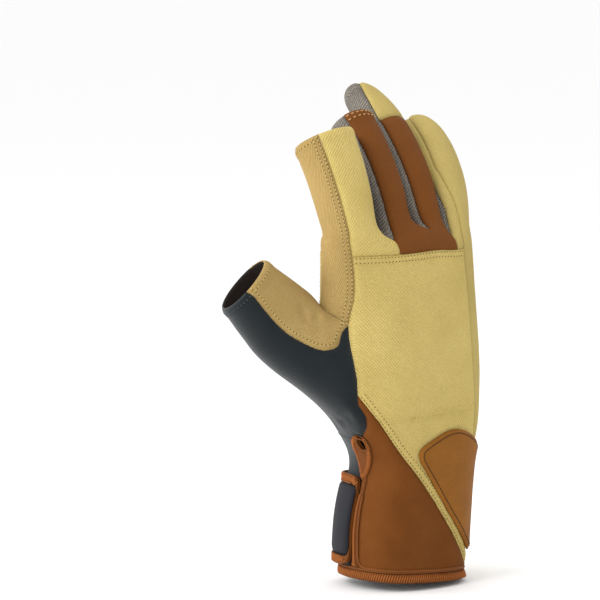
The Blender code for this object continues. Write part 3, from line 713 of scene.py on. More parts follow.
def finger_path(finger, root, along):
    """The centre and the across, palm and forward directions at a share of a finger's length."""
    centre = root.copy()
    for step in range(PATH_STEPS):
        share = (step + 0.5) / PATH_STEPS * along
        tilt = math.radians(finger.root_tilt + (finger.tip_tilt - finger.root_tilt) * share)
        centre += forward_of(tilt, finger.lean) * finger.length * along / PATH_STEPS
    tilt = math.radians(finger.root_tilt + (finger.tip_tilt - finger.root_tilt) * along)
    forward = forward_of(tilt, finger.lean)
    palm = Vector((0, math.cos(tilt), -math.sin(tilt)))
    return centre, palm.cross(forward), palm, forward


def forward_of(tilt, lean):
    """The direction that a finger points in, tilted to the palm and leaning to the side."""
    return Vector((
        math.sin(math.radians(lean)) * math.cos(tilt),
        math.sin(tilt),
        math.cos(math.radians(lean)) * math.cos(tilt),
    ))


def finger_cloth(finger, columns, reach, step):
    """How a finger's cloth lies: up from the hand, or for a knit strip, out from the crotch."""
    def place(number, end, outer):
        column = columns[(number + end) % len(columns)]
        zone = FINGER_SIDES[finger.name][number]
        run = reach if outer else reach - step
        if not zone.endswith("gusset"):
            return across_the_cloth(column, zone), PALM_LENGTH + run
        width = finger.width * KNIT_SHARE
        across = width if column is None else (0 if column < COLUMNS // 2 else 2 * width)
        return across, run if zone.startswith(finger.name) else -run
    return place


def add_finger(bm, finger, face, ring, columns):
    """Extrude a finger along its path from the face that the ring bounds, and return its root."""
    root = sum((vert.co for vert in ring), Vector()) / len(ring)
    before = 0.0
    for station in finger.stations:
        centre, across, palm, _ = finger_path(finger, root, station.along)
        half_width = station.width * finger.width / 2 * swell(len(ring))
        half_thickness = station.thickness * finger.width / 2 * swell(len(ring))
        targets = []
        for number in range(len(ring)):
            angle = 2 * math.pi * number / len(ring)
            targets.append(centre - across * half_width * math.cos(angle)
                           - palm * half_thickness * math.sin(angle))
        face, ring = extrude_ring(bm, face, ring, targets)
        reach = station.along * finger.length
        place = finger_cloth(finger, columns, reach, reach - before)
        paint_ring(bm, ring, face, FINGER_SIDES[finger.name], place)
        before = reach
    if finger.closed:
        bmesh.ops.poke(bm, faces=[face])
        tip = finger.width / 4
        inward = finger_cloth(finger, columns, before + tip, tip)
        paint_ring(bm, ring, None, FINGER_SIDES[finger.name],
                   lambda number, end, outer: inward(number, end, not outer))
    else:
        bmesh.ops.delete(bm, geom=[face], context="FACES_ONLY")
    return root


def thumb_frame():
    """The root of the thumb and its forward, web and palm directions."""
    root = Vector((
        -THUMB_ROOT.thumb_side * HALF_BREADTH,
        THUMB_ROOT.palm * HALF_DEPTH,
        THUMB_ROOT.height * PALM_LENGTH,
    ))
    spread, forward_tilt = math.radians(THUMB_SPREAD), math.radians(THUMB_FORWARD)
    forward = Vector((
        -math.sin(spread) * math.cos(forward_tilt),
        math.sin(forward_tilt),
        math.cos(spread) * math.cos(forward_tilt),
    ))
    web = (Vector((0, 0, 1)) - forward * forward.z).normalized()
    return root, forward, web, forward.cross(web)


def thumb_cloth(reach, step):
    """How the thumb's cloth lies: the web's comes down from the index finger, the rest goes up."""
    low, high = (HAND[row].height * PALM_LENGTH for row in THUMB_ROWS)
    middle = (high - low) / 2
    first, last = ARC[1], ARC[18] - ARC[COLUMNS]
    nineteenth = ARC[19] - ARC[COLUMNS]
    shell_side = (first, 0, nineteenth, last, last - middle, last - 2 * middle)
    web_side = (last, nineteenth, 0, first, first + middle)

    def place(number, end, outer):
        run = reach if outer else reach - step
        if THUMB_SIDES[number] == "web_panel":
            return web_side[number - 5 + end], high - run
        if number == 9:
            return (first + middle, first)[end], low + run
        return shell_side[number + end], low + run
    return place


def add_thumb(bm, face, ring):
    """Extrude the thumb from the face that the ring bounds, to its open tip."""
    root, forward, web, palm = thumb_frame()
    before = THUMB_CLOTH_START * THUMB_LENGTH
    for station in THUMB:
        half_width = station.width * THUMB_WIDTH / 2 * swell(len(ring))
        half_thickness = station.thickness * THUMB_WIDTH / 2 * swell(len(ring))
        sag = THUMB_SAG * THUMB_WIDTH * (1 - station.along) / (1 - THUMB[0].along)
        centre = root + forward * station.along * THUMB_LENGTH - web * sag
        targets = []
        for number in range(len(ring)):
            angle = 2 * math.pi * (number - THUMB_TURN) / len(ring)
            targets.append(centre - web * half_width * math.cos(angle)
                           + palm * half_thickness * math.sin(angle))
        face, ring = extrude_ring(bm, face, ring, targets)
        reach = station.along * THUMB_LENGTH
        start = THUMB_CLOTH_START * THUMB_LENGTH
        paint_ring(bm, ring, face, THUMB_SIDES, thumb_cloth(reach - start, reach - before))
        before = reach
    bmesh.ops.delete(bm, geom=[face], context="FACES_ONLY")


def hand_cage():
    """The coarse cage of the whole hand, open at the wrist and at three tips, and its finger roots."""
    bm = bmesh.new()
    bm.loops.layers.uv.new("cloth")
    bmesh.ops.create_circle(bm, cap_ends=False, segments=COLUMNS, radius=HALF_BREADTH)
    bm.verts.ensure_lookup_table()
    rings = [list(bm.verts)]
    for column, vert in enumerate(rings[0]):
        vert.co = section_point(HAND[0], column)
    for row, section in enumerate(HAND[1:]):
        below = rings[-1]
        edges = [bm.edges.get((below[i], below[i - 1])) for i in range(COLUMNS)]
        made = bmesh.ops.extrude_edge_only(bm, edges=edges)["geom"]
        fresh = [item for item in made if isinstance(item, bmesh.types.BMVert)]
        ring = [min(fresh, key=lambda v: (v.co - old.co).length) for old in below]
        for column, vert in enumerate(ring):
            vert.co = section_point(section, column)
        for column in range(COLUMNS):
            after = (column + 1) % COLUMNS
            face = bm.edges.get((ring[column], ring[after])).link_faces[0]
            zone = hand_zone(row, column)
            across = [across_the_cloth(column, zone), across_the_cloth(after, zone)]
            places = {}
            for verts, height in ((below, HAND[row].height), (ring, section.height)):
                places[verts[column]] = (across[0], height * PALM_LENGTH)
                places[verts[after]] = (across[1], height * PALM_LENGTH)
            lay_cloth(bm, face, zone, places)
        rings.append(ring)
    roots = add_roots(bm, rings)
    bmesh.ops.recalc_face_normals(bm, faces=bm.faces)
    return bm, roots


def add_roots(bm, rings):
    """Split the top of the hand into four finger roots and its side into a thumb root."""
    top = rings[-1]
    lid = bmesh.ops.contextual_create(
        bm, geom=[bm.edges.get((top[i], top[i - 1])) for i in range(COLUMNS)])["faces"][0]
    lid.normal_update()
    crotches = {}
    for column in CROTCH_REACH:
        edge = bmesh.ops.connect_vert_pair(
            bm, verts=[top[column], top[COLUMNS - column]])["edges"][0]
        edge, middle = bmesh.utils.edge_split(edge, top[column], 0.5)
        middle.co.z -= CROTCH_DROP
        crotches[column] = middle
    roots = {}
    for finger in FINGERS:
        back = list(range(finger.first, finger.last + 1))
        palm = [(COLUMNS - c) % COLUMNS for c in range(finger.last, finger.first - 1, -1)]
        columns = back + ([None] if finger.last in crotches else []) + palm
        ring = [top[c] if c is not None else crotches[finger.last] for c in columns]
        if finger.first in crotches:
            columns = [None] + columns
            ring = [crotches[finger.first]] + ring
        columns = [c for number, c in enumerate(columns) if ring.index(ring[number]) == number]
        ring = list(dict.fromkeys(ring))
        face = next(f for f in ring[0].link_faces if set(f.verts) == set(ring))
        roots[finger.name] = add_finger(bm, finger, face, ring, columns)
    low, high = THUMB_ROWS
    middle_row = (low + high) // 2
    block = [v for row in range(low, high + 1) for v in (rings[row][c] for c in THUMB_COLUMNS)]
    faces = [f for f in bm.faces if all(v in block for v in f.verts)]
    face = bmesh.ops.dissolve_faces(bm, faces=faces, use_verts=True)["region"][0]
    first, last = THUMB_COLUMNS[0], THUMB_COLUMNS[-1]
    ring = ([rings[low][c] for c in THUMB_COLUMNS] + [rings[middle_row][last]]
            + [rings[high][c] for c in reversed(THUMB_COLUMNS)] + [rings[middle_row][first]])
    add_thumb(bm, face, ring)
    return roots


def smoothed(bm, levels):
    """The cage's subdivided surface, with its outward direction stored at each vertex."""
    mesh = bpy.data.meshes.new("cage")
    bm.to_mesh(mesh)
    bm.free()
    cage = bpy.data.objects.new("cage", mesh)
    bpy.context.scene.collection.objects.link(cage)
    subdivision = cage.modifiers.new("smooth", "SUBSURF")
    subdivision.levels = levels
    subdivision.render_levels = levels
    evaluated = cage.evaluated_get(bpy.context.evaluated_depsgraph_get())
    surface = bmesh.new()
    surface.from_mesh(evaluated.to_mesh())
    evaluated.to_mesh_clear()
    bpy.data.objects.remove(cage)
    bpy.data.meshes.remove(mesh)
    surface.normal_update()
    outward = surface.verts.layers.float_vector.new("outward")
    surface.verts.layers.float.new("away")
    for vert in surface.verts:
        vert[outward] = vert.normal
    return surface


def refine(bm, sources, field):
    """Split the faces of the source zones that reach above zero of the field into smaller ones."""
    numbers = {ZONE[name] for name in sources}
    edges = [edge for face in bm.faces if face.material_index in numbers
             and any(field(v.co) > 0 for v in face.verts) for edge in face.edges]
    bmesh.ops.subdivide_edges(bm, edges=list(dict.fromkeys(edges)), cuts=1, use_grid_fill=True)


def repaint(bm, sources, field, zone):
    """Cut the source zones where the field is zero, and give the zone where it is above."""
    numbers = {ZONE[name] for name in sources}
    faces = [f for f in bm.faces if f.material_index in numbers]
    edges = list(dict.fromkeys(e for f in faces for e in f.edges))
    value = {v: field(v.co) for e in edges for v in e.verts}
    on_line = {}
    for edge in edges:
        a, b = edge.verts
        if value[a] * value[b] >= 0:
            continue
        share = value[a] / (value[a] - value[b])
        if share < NEAR_THE_CUT:
            on_line[a] = True
        elif share > 1 - NEAR_THE_CUT:
            on_line[b] = True
    for vert in on_line:
        slide_to_zero(vert, value)
        value[vert] = 0.0
    for edge in edges:
        a, b = edge.verts
        if value[a] * value[b] < 0:
            made = bmesh.utils.edge_split(edge, a, value[a] / (value[a] - value[b]))[1]
            value[made] = 0.0
    bmesh.ops.connect_verts(bm, verts=[v for v in value if value[v] == 0.0])
    for face in bm.faces:
        if face.material_index in numbers:
            known = [value.get(v, 0.0) for v in face.verts]
            if max(known) + min(known) > 0:
                face.material_index = ZONE[zone]


def slide_to_zero(vert, value):
    """Move a vertex along its steepest edge to where the field is zero."""
    best, share = None, 1.0
    for edge in vert.link_edges:
        other = edge.other_vert(vert)
        there = value.get(other)
        if there is None or value[vert] * there >= 0:
            continue
        part = value[vert] / (value[vert] - there)
        if part < share:
            best, share = other, part
    if best is not None:
        vert.co = vert.co.lerp(best.co, share)


def draw_in(bm, distance):
    """Move each open edge of a panel back along the surface by the distance."""
    outward = bm.verts.layers.float_vector["outward"]
    moves = {}
    for edge in bm.edges:
        if not edge.is_boundary:
            continue
        loop = edge.link_loops[0]
        start, end = loop.vert, loop.link_loop_next.vert
        along = (end.co - start.co).normalized()
        inward = edge.link_faces[0].normal.cross(along)
        for vert in (start, end):
            moves.setdefault(vert, []).append(inward)
    for vert, inwards in moves.items():
        total = sum(inwards, Vector())
        if total.length < SHARPEST_CORNER:
            total = inwards[0].copy()
        direction = total.normalized()
        stretch = max(SHARPEST_CORNER, direction.dot(inwards[0]))
        direction -= direction.project(Vector(vert[outward]))
        vert.co += direction * distance / stretch


def clamped(share):
    """A share, kept from 0 to 1."""
    return min(1.0, max(0.0, share))


def crease(surface):
    """Press the folds and a gentle unevenness into the whole form."""
    outward = surface.verts.layers.float_vector["outward"]
    lines = [(Vector(fold.start) * MM, Vector(fold.end) * MM, fold.width * MM, fold.height * MM)
             for fold in FOLDS]
    for vert in surface.verts:
        rise = sum(wave.height * noise.noise(vert.co * wave.scale) for wave in WAVES)
        for start, end, width, height in lines:
            nearest, share = geometry.intersect_point_line(vert.co, start, end)
            nearest = start.lerp(end, clamped(share))
            rise += height * math.exp(-((vert.co - nearest).length / width) ** 2)
        vert.co += Vector(vert[outward]) * rise


def cut_sheet(surface, names, outlines=()):
    """The flat cloth of the named zones, within the outlines."""
    sheet = surface.copy()
    for outline in outlines:
        repaint(sheet, names, lambda point: -outline(point), "waste")
    numbers = {ZONE[name] for name in names}
    doomed = [f for f in sheet.faces if f.material_index not in numbers]
    bmesh.ops.delete(sheet, geom=doomed, context="FACES")
    sheet.normal_update()
    return sheet


def find_edges(sheet):
    """Store at each vertex how far it lies from the sheet's open edges."""
    places = []
    for edge in sheet.edges:
        if edge.is_boundary:
            steps = math.ceil(edge.calc_length() / EDGE_STEP)
            start, end = (v.co for v in edge.verts)
            places += [start.lerp(end, step / steps) for step in range(steps + 1)]
    tree = kdtree.KDTree(len(places))
    for number, place in enumerate(places):
        tree.insert(place, number)
    tree.balance()
    away = sheet.verts.layers.float["away"]
    for vert in sheet.verts:
        vert[away] = tree.find(vert.co)[2]


def thicken(sheet, inner, outer, rim=GAP / 2, roll=ROLL, drop=ROLL_DROP):
    """Give a sheet of cloth its wall, with edges that roll down into the seams."""
    draw_in(sheet, rim)
    find_edges(sheet)
    away = sheet.verts.layers.float["away"]
    outward = sheet.verts.layers.float_vector["outward"]
    originals = list(sheet.verts)
    lining = list(sheet.faces)
    lift = {v: Vector(v[outward]).normalized() for v in originals}
    for face in lining:
        face.material_index = 0
    made = bmesh.ops.extrude_face_region(sheet, geom=lining, use_keep_orig=True)["geom"]
    for vert in made:
        if isinstance(vert, bmesh.types.BMVert):
            height = outer(vert.co) if callable(outer) else outer
            height -= drop * max(0.0, 1 - vert[away] / roll) ** 2
            vert.co += Vector(vert[outward]).normalized() * height
    for vert in originals:
        vert.co += lift[vert] * (inner(vert.co) if callable(inner) else inner)
    for face in lining:
        face.material_index = 1
    bmesh.ops.recalc_face_normals(sheet, faces=sheet.faces)
    return sheet


Mark = namedtuple("Mark", "place outward inward")


def chains(edges):
    """The edges joined end to end into lines of vertices."""
    links = {}
    for edge in edges:
        for vert in edge.verts:
            links.setdefault(vert, []).append(edge)
    left = set(edges)
    starts = [v for v in links if len(links[v]) == 1] + list(links)
    lines = []
    for start in starts:
        line = [start]
        while True:
            edge = next((e for e in links[line[-1]] if e in left), None)
            if edge is None:
                break
            left.discard(edge)
            line.append(edge.other_vert(line[-1]))
        if len(line) > 2:
            lines.append(line)
    return lines


def borders(surface, inside, outside=()):
    """The lines where the inside zones meet the outside zones, or the open edge if none is named."""
    within = {ZONE[name] for name in inside}
    beyond = {ZONE[name] for name in outside}
    outward = surface.verts.layers.float_vector["outward"]
    inwards, edges = {}, []
    for edge in surface.edges:
        own = [f for f in edge.link_faces if f.material_index in within]
        other = [f for f in edge.link_faces if f.material_index in beyond]
        if len(own) != 1 or (len(other) != 1 if beyond else not edge.is_boundary):
            continue
        edges.append(edge)
        middle = (edge.verts[0].co + edge.verts[1].co) / 2
        along = (edge.verts[1].co - edge.verts[0].co).normalized()
        inward = own[0].calc_center_median() - middle
        inward = (inward - inward.project(along)).normalized()
        for vert in edge.verts:
            inwards.setdefault(vert, []).append(inward)
    lines = []
    for chain in chains(edges):
        marks = [Mark(v.co.copy(), Vector(v[outward]).normalized(),
                      sum(inwards[v], Vector()).normalized()) for v in chain]
        lines.append(marks)
    return lines


def offset_line(marks, distance):
    """A line of marks moved in from a border by a distance, smoothed along its length."""
    closed = (marks[0].place - marks[-1].place).length < CLOSED
    moved = [mark.place + mark.inward * distance for mark in marks]
    if closed:
        moved[-1] = moved[0]
    for _ in range(LINE_ROUNDS):
        again = list(moved)
        for number in range(1, len(moved) - 1):
            again[number] = (moved[number - 1] + 2 * moved[number] + moved[number + 1]) / 4
        moved = again
    return [Mark(place, mark.outward, mark.inward) for place, mark in zip(moved, marks)]


def paced(marks, pitch, start=0.0, end=0.0):
    """Evenly spaced marks on a line, each with the direction along it."""
    steps = [(b.place - a.place).length for a, b in zip(marks, marks[1:])]
    whole = sum(steps) - start - end
    count = max(2, round(whole / pitch))
    spacing = whole / count
    reach, number, passed = start + spacing / 2, 0, 0.0
    for _ in range(count):
        while number < len(steps) - 1 and passed + steps[number] < reach:
            passed += steps[number]
            number += 1
        share = (reach - passed) / max(steps[number], 1e-9)
        a, b = marks[number], marks[number + 1]
        mark = Mark(a.place.lerp(b.place, share), a.outward.lerp(b.outward, share).normalized(),
                    a.inward.lerp(b.inward, share).normalized())
        yield mark, (b.place - a.place).normalized()
        reach += spacing


def line_at(surface, names, field, within=None):
    """The lines over the named zones where a field is zero, where they lie within another field."""
    copy = surface.copy()
    repaint(copy, names, field, "waste")
    lines = borders(copy, names, ["waste"])
    copy.free()
    if within is None:
        return lines
    kept = []
    for line in lines:
        run = []
        for mark in line + [None]:
            if mark is not None and within(mark.place) > 0:
                run.append(mark)
                continue
            if len(run) > 2:
                kept.append(run)
            run = []
    return kept


def outermost(trees, mark):
    """Where the cloth's outer face lies under a mark, and which way it faces there."""
    above = mark.place + mark.outward * SNAP_HEIGHT
    best = None
    for tree in trees:
        place, normal, _, _ = tree.ray_cast(above, -mark.outward, 2 * SNAP_HEIGHT)
        if place is not None and (best is None or (place - best[0]).dot(mark.outward) > 0):
            best = place, normal
    return best


def lay_bead(bm, place, along, outward, half_sizes, finish=0):
    """One small rounded bead lying on the cloth, by its half sizes along, across and up."""
    across = outward.cross(along).normalized()
    turn = Matrix((along, across, along.cross(across))).transposed().to_4x4()
    made = bmesh.ops.create_uvsphere(
        bm, u_segments=6, v_segments=5, radius=1.0,
        matrix=Matrix.Translation(place) @ turn @ Matrix.Diagonal((*half_sizes, 1)))["verts"]
    if finish:
        for face in dict.fromkeys(f for v in made for f in v.link_faces):
            face.material_index = finish


def gather(bm, row):
    """Add a finished row to the piece that it belongs to."""
    mesh = bpy.data.meshes.new("row")
    row.to_mesh(mesh)
    row.free()
    bm.from_mesh(mesh)
    bpy.data.meshes.remove(mesh)


def sew(bm, trees, marks, pitch=STITCH_PITCH, half_sizes=STITCH, holes=True):
    """A row of stitches along a line, with a dark bead between each two as the painted shade of a needle
    hole.
    """
    row = bmesh.new()
    for mark, along in paced(marks, pitch):
        # The second bead is a dark spot of painted shade where a needle hole lies, in the piece's second
        # finish
        for shift, sizes, finish in ((0.0, half_sizes, 0), (pitch / 2, NEEDLE_HOLE_SHADE, 1)):
            if finish and not holes:
                continue
            spot = outermost(trees, Mark(mark.place + along * shift, mark.outward, mark.inward))
            if spot is None:
                continue
            place, normal = spot
            level = (along - along.project(normal)).normalized()
            lay_bead(row, place + normal * sizes[2] * STITCH_LIFT, level, normal, sizes, finish)
    gather(bm, row)


def sew_rows(bm, trees, lines, offsets, **settings):
    """Rows of stitches at several distances in from each line."""
    for line in lines:
        for distance in offsets:
            sew(bm, trees, offset_line(line, distance), **settings)


def whip(bm, trees, marks, width):
    """Overlock threads lying across a binding, one beside the other."""
    row = bmesh.new()
    for mark, along in paced(marks, THREAD_PITCH):
        spot = outermost(trees, mark)
        if spot is None:
            continue
        place, normal = spot
        level = (along - along.project(normal)).normalized()
        crosswise = (normal.cross(level) + level * THREAD_SLANT).normalized()
        lay_bead(row, place, crosswise, normal,
                 (width / 2, THREAD_PITCH * THREAD_SHARE, THREAD_RISE))
    gather(bm, row)


def lay_cord(bm, trees, marks, radius, lift=CORD_LIFT):
    """A round cord laid along a line, as a ring extruded from mark to mark."""
    closed = (marks[0].place - marks[-1].place).length < CLOSED
    stations = []
    for mark, along in paced(marks, CORD_STEP):
        spot = outermost(trees, mark)
        if spot is not None:
            place, normal = spot
            stations.append((place + normal * radius * lift, normal, normal.cross(along).normalized()))
    cord = bmesh.new()
    ring = bmesh.ops.create_circle(cord, cap_ends=False, segments=CORD_SIDES, radius=radius)["verts"]
    edges = [cord.edges.get((ring[i], ring[(i + 1) % CORD_SIDES])) for i in range(CORD_SIDES)]
    first_edges = edges
    for number, (place, normal, side) in enumerate(stations):
        if number:
            extruded = bmesh.ops.extrude_edge_only(cord, edges=edges)["geom"]
            fresh = [item for item in extruded if isinstance(item, bmesh.types.BMVert)]
            ring = [min(fresh, key=lambda v: (v.co - old.co).length) for old in ring]
            edges = [cord.edges.get((ring[i], ring[(i + 1) % CORD_SIDES])) for i in range(CORD_SIDES)]
        for step, vert in enumerate(ring):
            angle = 2 * math.pi * step / CORD_SIDES
            vert.co = place + (normal * math.cos(angle) + side * math.sin(angle)) * radius
    if closed:
        bmesh.ops.bridge_loops(cord, edges=edges + first_edges)
    else:
        bmesh.ops.contextual_create(cord, geom=edges)
        bmesh.ops.contextual_create(cord, geom=first_edges)
    gather(bm, cord)


def cuff_mark(u, v):
    """A mark on the cuff, at a place round the wrist and above the hem."""
    angle = u / WRIST
    outward = Vector((-math.cos(angle), math.sin(angle), 0))
    x = outward.x * WRIST
    return Mark(Vector((x, outward.y * HALF_DEPTH, v + hem_level(x))), outward, Vector((0, 0, 1)))


def add_node(tree, kind, inputs=(), **settings):
    """A shader node with its settings, fed by values or by other nodes' sockets."""
    made = tree.nodes.new(kind)
    for name, value in settings.items():
        setattr(made, name, value)
    for key, value in dict(inputs).items():
        if isinstance(value, bpy.types.NodeSocket):
            tree.links.new(value, made.inputs[key])
        else:
            made.inputs[key].default_value = value
    return made


def maths(tree, operation, *values):
    """The result of one step of arithmetic on numbers or sockets."""
    return add_node(tree, "ShaderNodeMath", dict(enumerate(values)), operation=operation).outputs[0]


def new_group(name, inputs, outputs):
    """An empty node group with named inputs and outputs, and its input and output nodes."""
    group = bpy.data.node_groups.new(name, "ShaderNodeTree")
    for label, kind, value in inputs:
        socket = group.interface.new_socket(name=label, in_out="INPUT", socket_type=kind)
        if value is not None:
            socket.default_value = value
    for label, kind in outputs:
        group.interface.new_socket(name=label, in_out="OUTPUT", socket_type=kind)
    return group, group.nodes.new("NodeGroupInput").outputs, group.nodes.new("NodeGroupOutput").inputs


def slanted_wave(tree, cloth, pitch, degrees):
    """A wave from 0 to 1 across the cloth, with a pitch in metres and the angle of its lines."""
    parts = add_node(tree, "ShaderNodeSeparateXYZ", {"Vector": cloth}).outputs
    angle = maths(tree, "RADIANS", degrees)
    across = maths(tree, "MULTIPLY", parts[0], maths(tree, "SINE", angle))
    along = maths(tree, "MULTIPLY", parts[1], maths(tree, "COSINE", angle))
    turns = maths(tree, "DIVIDE", maths(tree, "SUBTRACT", along, across), pitch)
    wave = maths(tree, "SINE", maths(tree, "MULTIPLY", turns, 2 * math.pi))
    return maths(tree, "MULTIPLY_ADD", wave, 0.5, 0.5)


def wavering(tree, cloth, scale, amount):
    """Cloth places shifted a little by noise, so that threads don't run like ruled lines."""
    drift = add_node(tree, "ShaderNodeTexNoise", {"Vector": cloth, "Scale": scale, "Detail": 1.0})
    centred = add_node(tree, "ShaderNodeVectorMath", {0: drift.outputs["Color"], 1: (0.5, 0.5, 0.5)},
                       operation="SUBTRACT").outputs[0]
    shift = add_node(tree, "ShaderNodeVectorMath", {0: centred, "Scale": amount},
                     operation="SCALE").outputs[0]
    return add_node(tree, "ShaderNodeVectorMath", {0: cloth, 1: shift}, operation="ADD").outputs[0]


def cloud(tree, place, scale, detail):
    """Soft noise from 0 to 1."""
    return add_node(tree, "ShaderNodeTexNoise",
                    {"Vector": place, "Scale": scale, "Detail": detail}).outputs[0]


def weave_group():
    """Slanting twill ribs, each broken into floats: their height, and how deep the valleys lie, as a mask
    for painted shade.
    """
    group, given, out = new_group(
        "weave",
        [("Cloth", "NodeSocketVector", None), ("Pitch", "NodeSocketFloat", 0.001),
         ("Slant", "NodeSocketFloat", 45.0)],
        [("Height", "NodeSocketFloat"), ("ValleyShade", "NodeSocketFloat")])
    cloth = wavering(group, given["Cloth"], DRIFT_SCALE, DRIFT)
    rib = slanted_wave(group, cloth, given["Pitch"], given["Slant"])
    floats = slanted_wave(group, cloth, maths(group, "MULTIPLY", given["Pitch"], FLOAT_PITCH),
                          maths(group, "ADD", given["Slant"], FLOAT_TURN))
    broken = maths(group, "MULTIPLY", rib,
                   maths(group, "MULTIPLY_ADD", floats, FLOAT_SHARE, 1 - FLOAT_SHARE))
    group.links.new(broken, out["Height"])
    group.links.new(maths(group, "SUBTRACT", 1.0, broken), out["ValleyShade"])
    return group


def mottle_group():
    """A colour that varies slowly over the piece and finely from fibre to fibre, and goes towards its dark
    colour where painted shade is given.
    """
    group, given, out = new_group(
        "mottle",
        [("Place", "NodeSocketVector", None), ("Light", "NodeSocketColor", (1, 1, 1, 1)),
         ("Dark", "NodeSocketColor", (0, 0, 0, 1)), ("Broad", "NodeSocketFloat", 40.0),
         ("Fine", "NodeSocketFloat", 900.0), ("Shade", "NodeSocketFloat", 0.0)],
        [("Colour", "NodeSocketColor")])
    broad = cloud(group, given["Place"], given["Broad"], 3.0)
    fine = cloud(group, given["Place"], given["Fine"], 2.0)
    both = maths(group, "ADD", maths(group, "MULTIPLY", broad, BROAD_SHARE),
                 maths(group, "MULTIPLY", fine, FINE_SHARE))
    spread = add_node(group, "ShaderNodeMapRange", {
        "Value": both, "From Min": MOTTLE_RANGE[0], "From Max": MOTTLE_RANGE[1]}).outputs[0]
    share = maths(group, "ADD", maths(group, "MULTIPLY", spread, MOTTLE_DEPTH), given["Shade"])
    colour = add_node(group, "ShaderNodeMix", {"Factor": share, "A": given["Light"], "B": given["Dark"]},
                      data_type="RGBA")
    group.links.new(colour.outputs["Result"], out["Colour"])
    return group


def grain_group():
    """Small pits and creases, as in hide, suede or moulded rubber."""
    group, given, out = new_group(
        "grain",
        [("Place", "NodeSocketVector", None), ("Cell", "NodeSocketFloat", 900.0),
         ("Nap", "NodeSocketFloat", 2000.0)],
        [("Height", "NodeSocketFloat")])
    cells = add_node(group, "ShaderNodeTexVoronoi", {"Vector": given["Place"], "Scale": given["Cell"]},
                     feature="DISTANCE_TO_EDGE").outputs["Distance"]
    nap = cloud(group, given["Place"], given["Nap"], 2.0)
    pits = maths(group, "MINIMUM", maths(group, "MULTIPLY", cells, PIT_STEEPNESS), 1.0)
    group.links.new(maths(group, "MULTIPLY_ADD", nap, 0.5, maths(group, "MULTIPLY", pits, 0.5)),
                    out["Height"])
    return group


def new_finish(name, roughness, sheen=0.0, specular=0.15):
    """A material with its shader, its tree, and the places its patterns are read from."""
    material = bpy.data.materials.new(name)
    material.use_nodes = True
    tree = material.node_tree
    shader = tree.nodes["Principled BSDF"]
    shader.inputs["Roughness"].default_value = roughness
    shader.inputs["Sheen Weight"].default_value = sheen
    shader.inputs["Sheen Roughness"].default_value = 0.5
    shader.inputs["Specular IOR Level"].default_value = specular
    place = add_node(tree, "ShaderNodeTexCoord").outputs["Object"]
    cloth = add_node(tree, "ShaderNodeUVMap", uv_map="cloth").outputs[0]
    return material, tree, shader, place, cloth


def finish_surface(tree, shader, colour, height, distance):
    """Give the shader its colour, and the relief of a height of so many metres."""
    bump = add_node(tree, "ShaderNodeBump", {"Height": height, "Distance": distance, "Strength": 1.0})
    tree.links.new(colour, shader.inputs["Base Color"])
    tree.links.new(bump.outputs[0], shader.inputs["Normal"])


def group_node(tree, group, inputs):
    """A node group in a material, fed by values or sockets, as its outputs."""
    return add_node(tree, "ShaderNodeGroup", inputs, node_tree=group).outputs


def woven(name, light, dark, pitch, slant, depth, roughness, furrow):
    """A woven or knitted cloth, whose ribs follow the cloth's own lie."""
    material, tree, shader, place, cloth = new_finish(name, roughness)
    weave = group_node(tree, WEAVE, {"Cloth": cloth, "Pitch": pitch, "Slant": slant})
    # Painted shade: the furrows between the ribs are coloured towards the dark colour
    shade = maths(tree, "MULTIPLY", weave["ValleyShade"], furrow)
    colour = group_node(tree, MOTTLE, {"Place": place, "Light": (*light, 1), "Dark": (*dark, 1),
                                       "Shade": shade})["Colour"]
    finish_surface(tree, shader, colour, weave["Height"], depth)
    return material


def napped(name, light, dark, cell, nap, depth, roughness, sheen=0.0, specular=0.15, broad=40.0):
    """A cloth, hide or rubber with a grain and no weave."""
    material, tree, shader, place, _ = new_finish(name, roughness, sheen, specular)
    height = group_node(tree, GRAIN, {"Place": place, "Cell": cell, "Nap": nap})["Height"]
    colour = group_node(tree, MOTTLE, {"Place": place, "Light": (*light, 1), "Dark": (*dark, 1),
                                       "Broad": broad, "Fine": nap})["Colour"]
    finish_surface(tree, shader, colour, height, depth)
    return material


def view_directions():
    """The right, up and back directions of the camera."""
    azimuth, elevation = math.radians(AZIMUTH), math.radians(ELEVATION)
    right = Vector((math.cos(azimuth), math.sin(azimuth), 0))
    back = Vector((math.sin(azimuth) * math.cos(elevation), -math.cos(azimuth) * math.cos(elevation),
                   math.sin(elevation)))
    return right, back.cross(right), back


def looking(place, back, right):
    """The matrix of a camera or lamp at a place, turned to look against the back direction."""
    up = back.cross(right).normalized()
    return Matrix.Translation(place) @ Matrix((right, up, back)).transposed().to_4x4()


def new_object(name, data):
    """A new object of the scene, made of a mesh, camera or lamp."""
    made = bpy.data.objects.new(name, data)
    bpy.context.scene.collection.objects.link(made)
    return made


def add_camera():
    """The camera at the photo's angle, with the glove in its right half."""
    right, up, back = view_directions()
    lens = bpy.data.cameras.new("camera")
    lens.sensor_width = SENSOR
    lens.lens = SENSOR * CAMERA_DISTANCE / VIEW_WIDTH
    lens.clip_end = FLOOR_RADIUS * 2
    camera = new_object("camera", lens)
    middle = right * VIEW_CENTRE[0] + up * VIEW_CENTRE[1]
    camera.matrix_world = looking(middle + back * CAMERA_DISTANCE, back, right)
    bpy.context.scene.camera = camera


def add_lamp(name, sideways, upwards, forwards, size, power):
    """A square soft lamp, placed from the glove by the camera's directions."""
    right, up, back = view_directions()
    middle = Vector((0, 0, LAMP_AIM))
    place = middle + right * sideways + up * upwards + back * forwards
    light = bpy.data.lights.new(name, "AREA")
    light.size = size
    light.energy = power
    lamp = new_object(name, light)
    aim = (place - middle).normalized()
    level = Vector((0, 0, 1)).cross(aim).normalized()
    lamp.matrix_world = looking(place, aim, level)


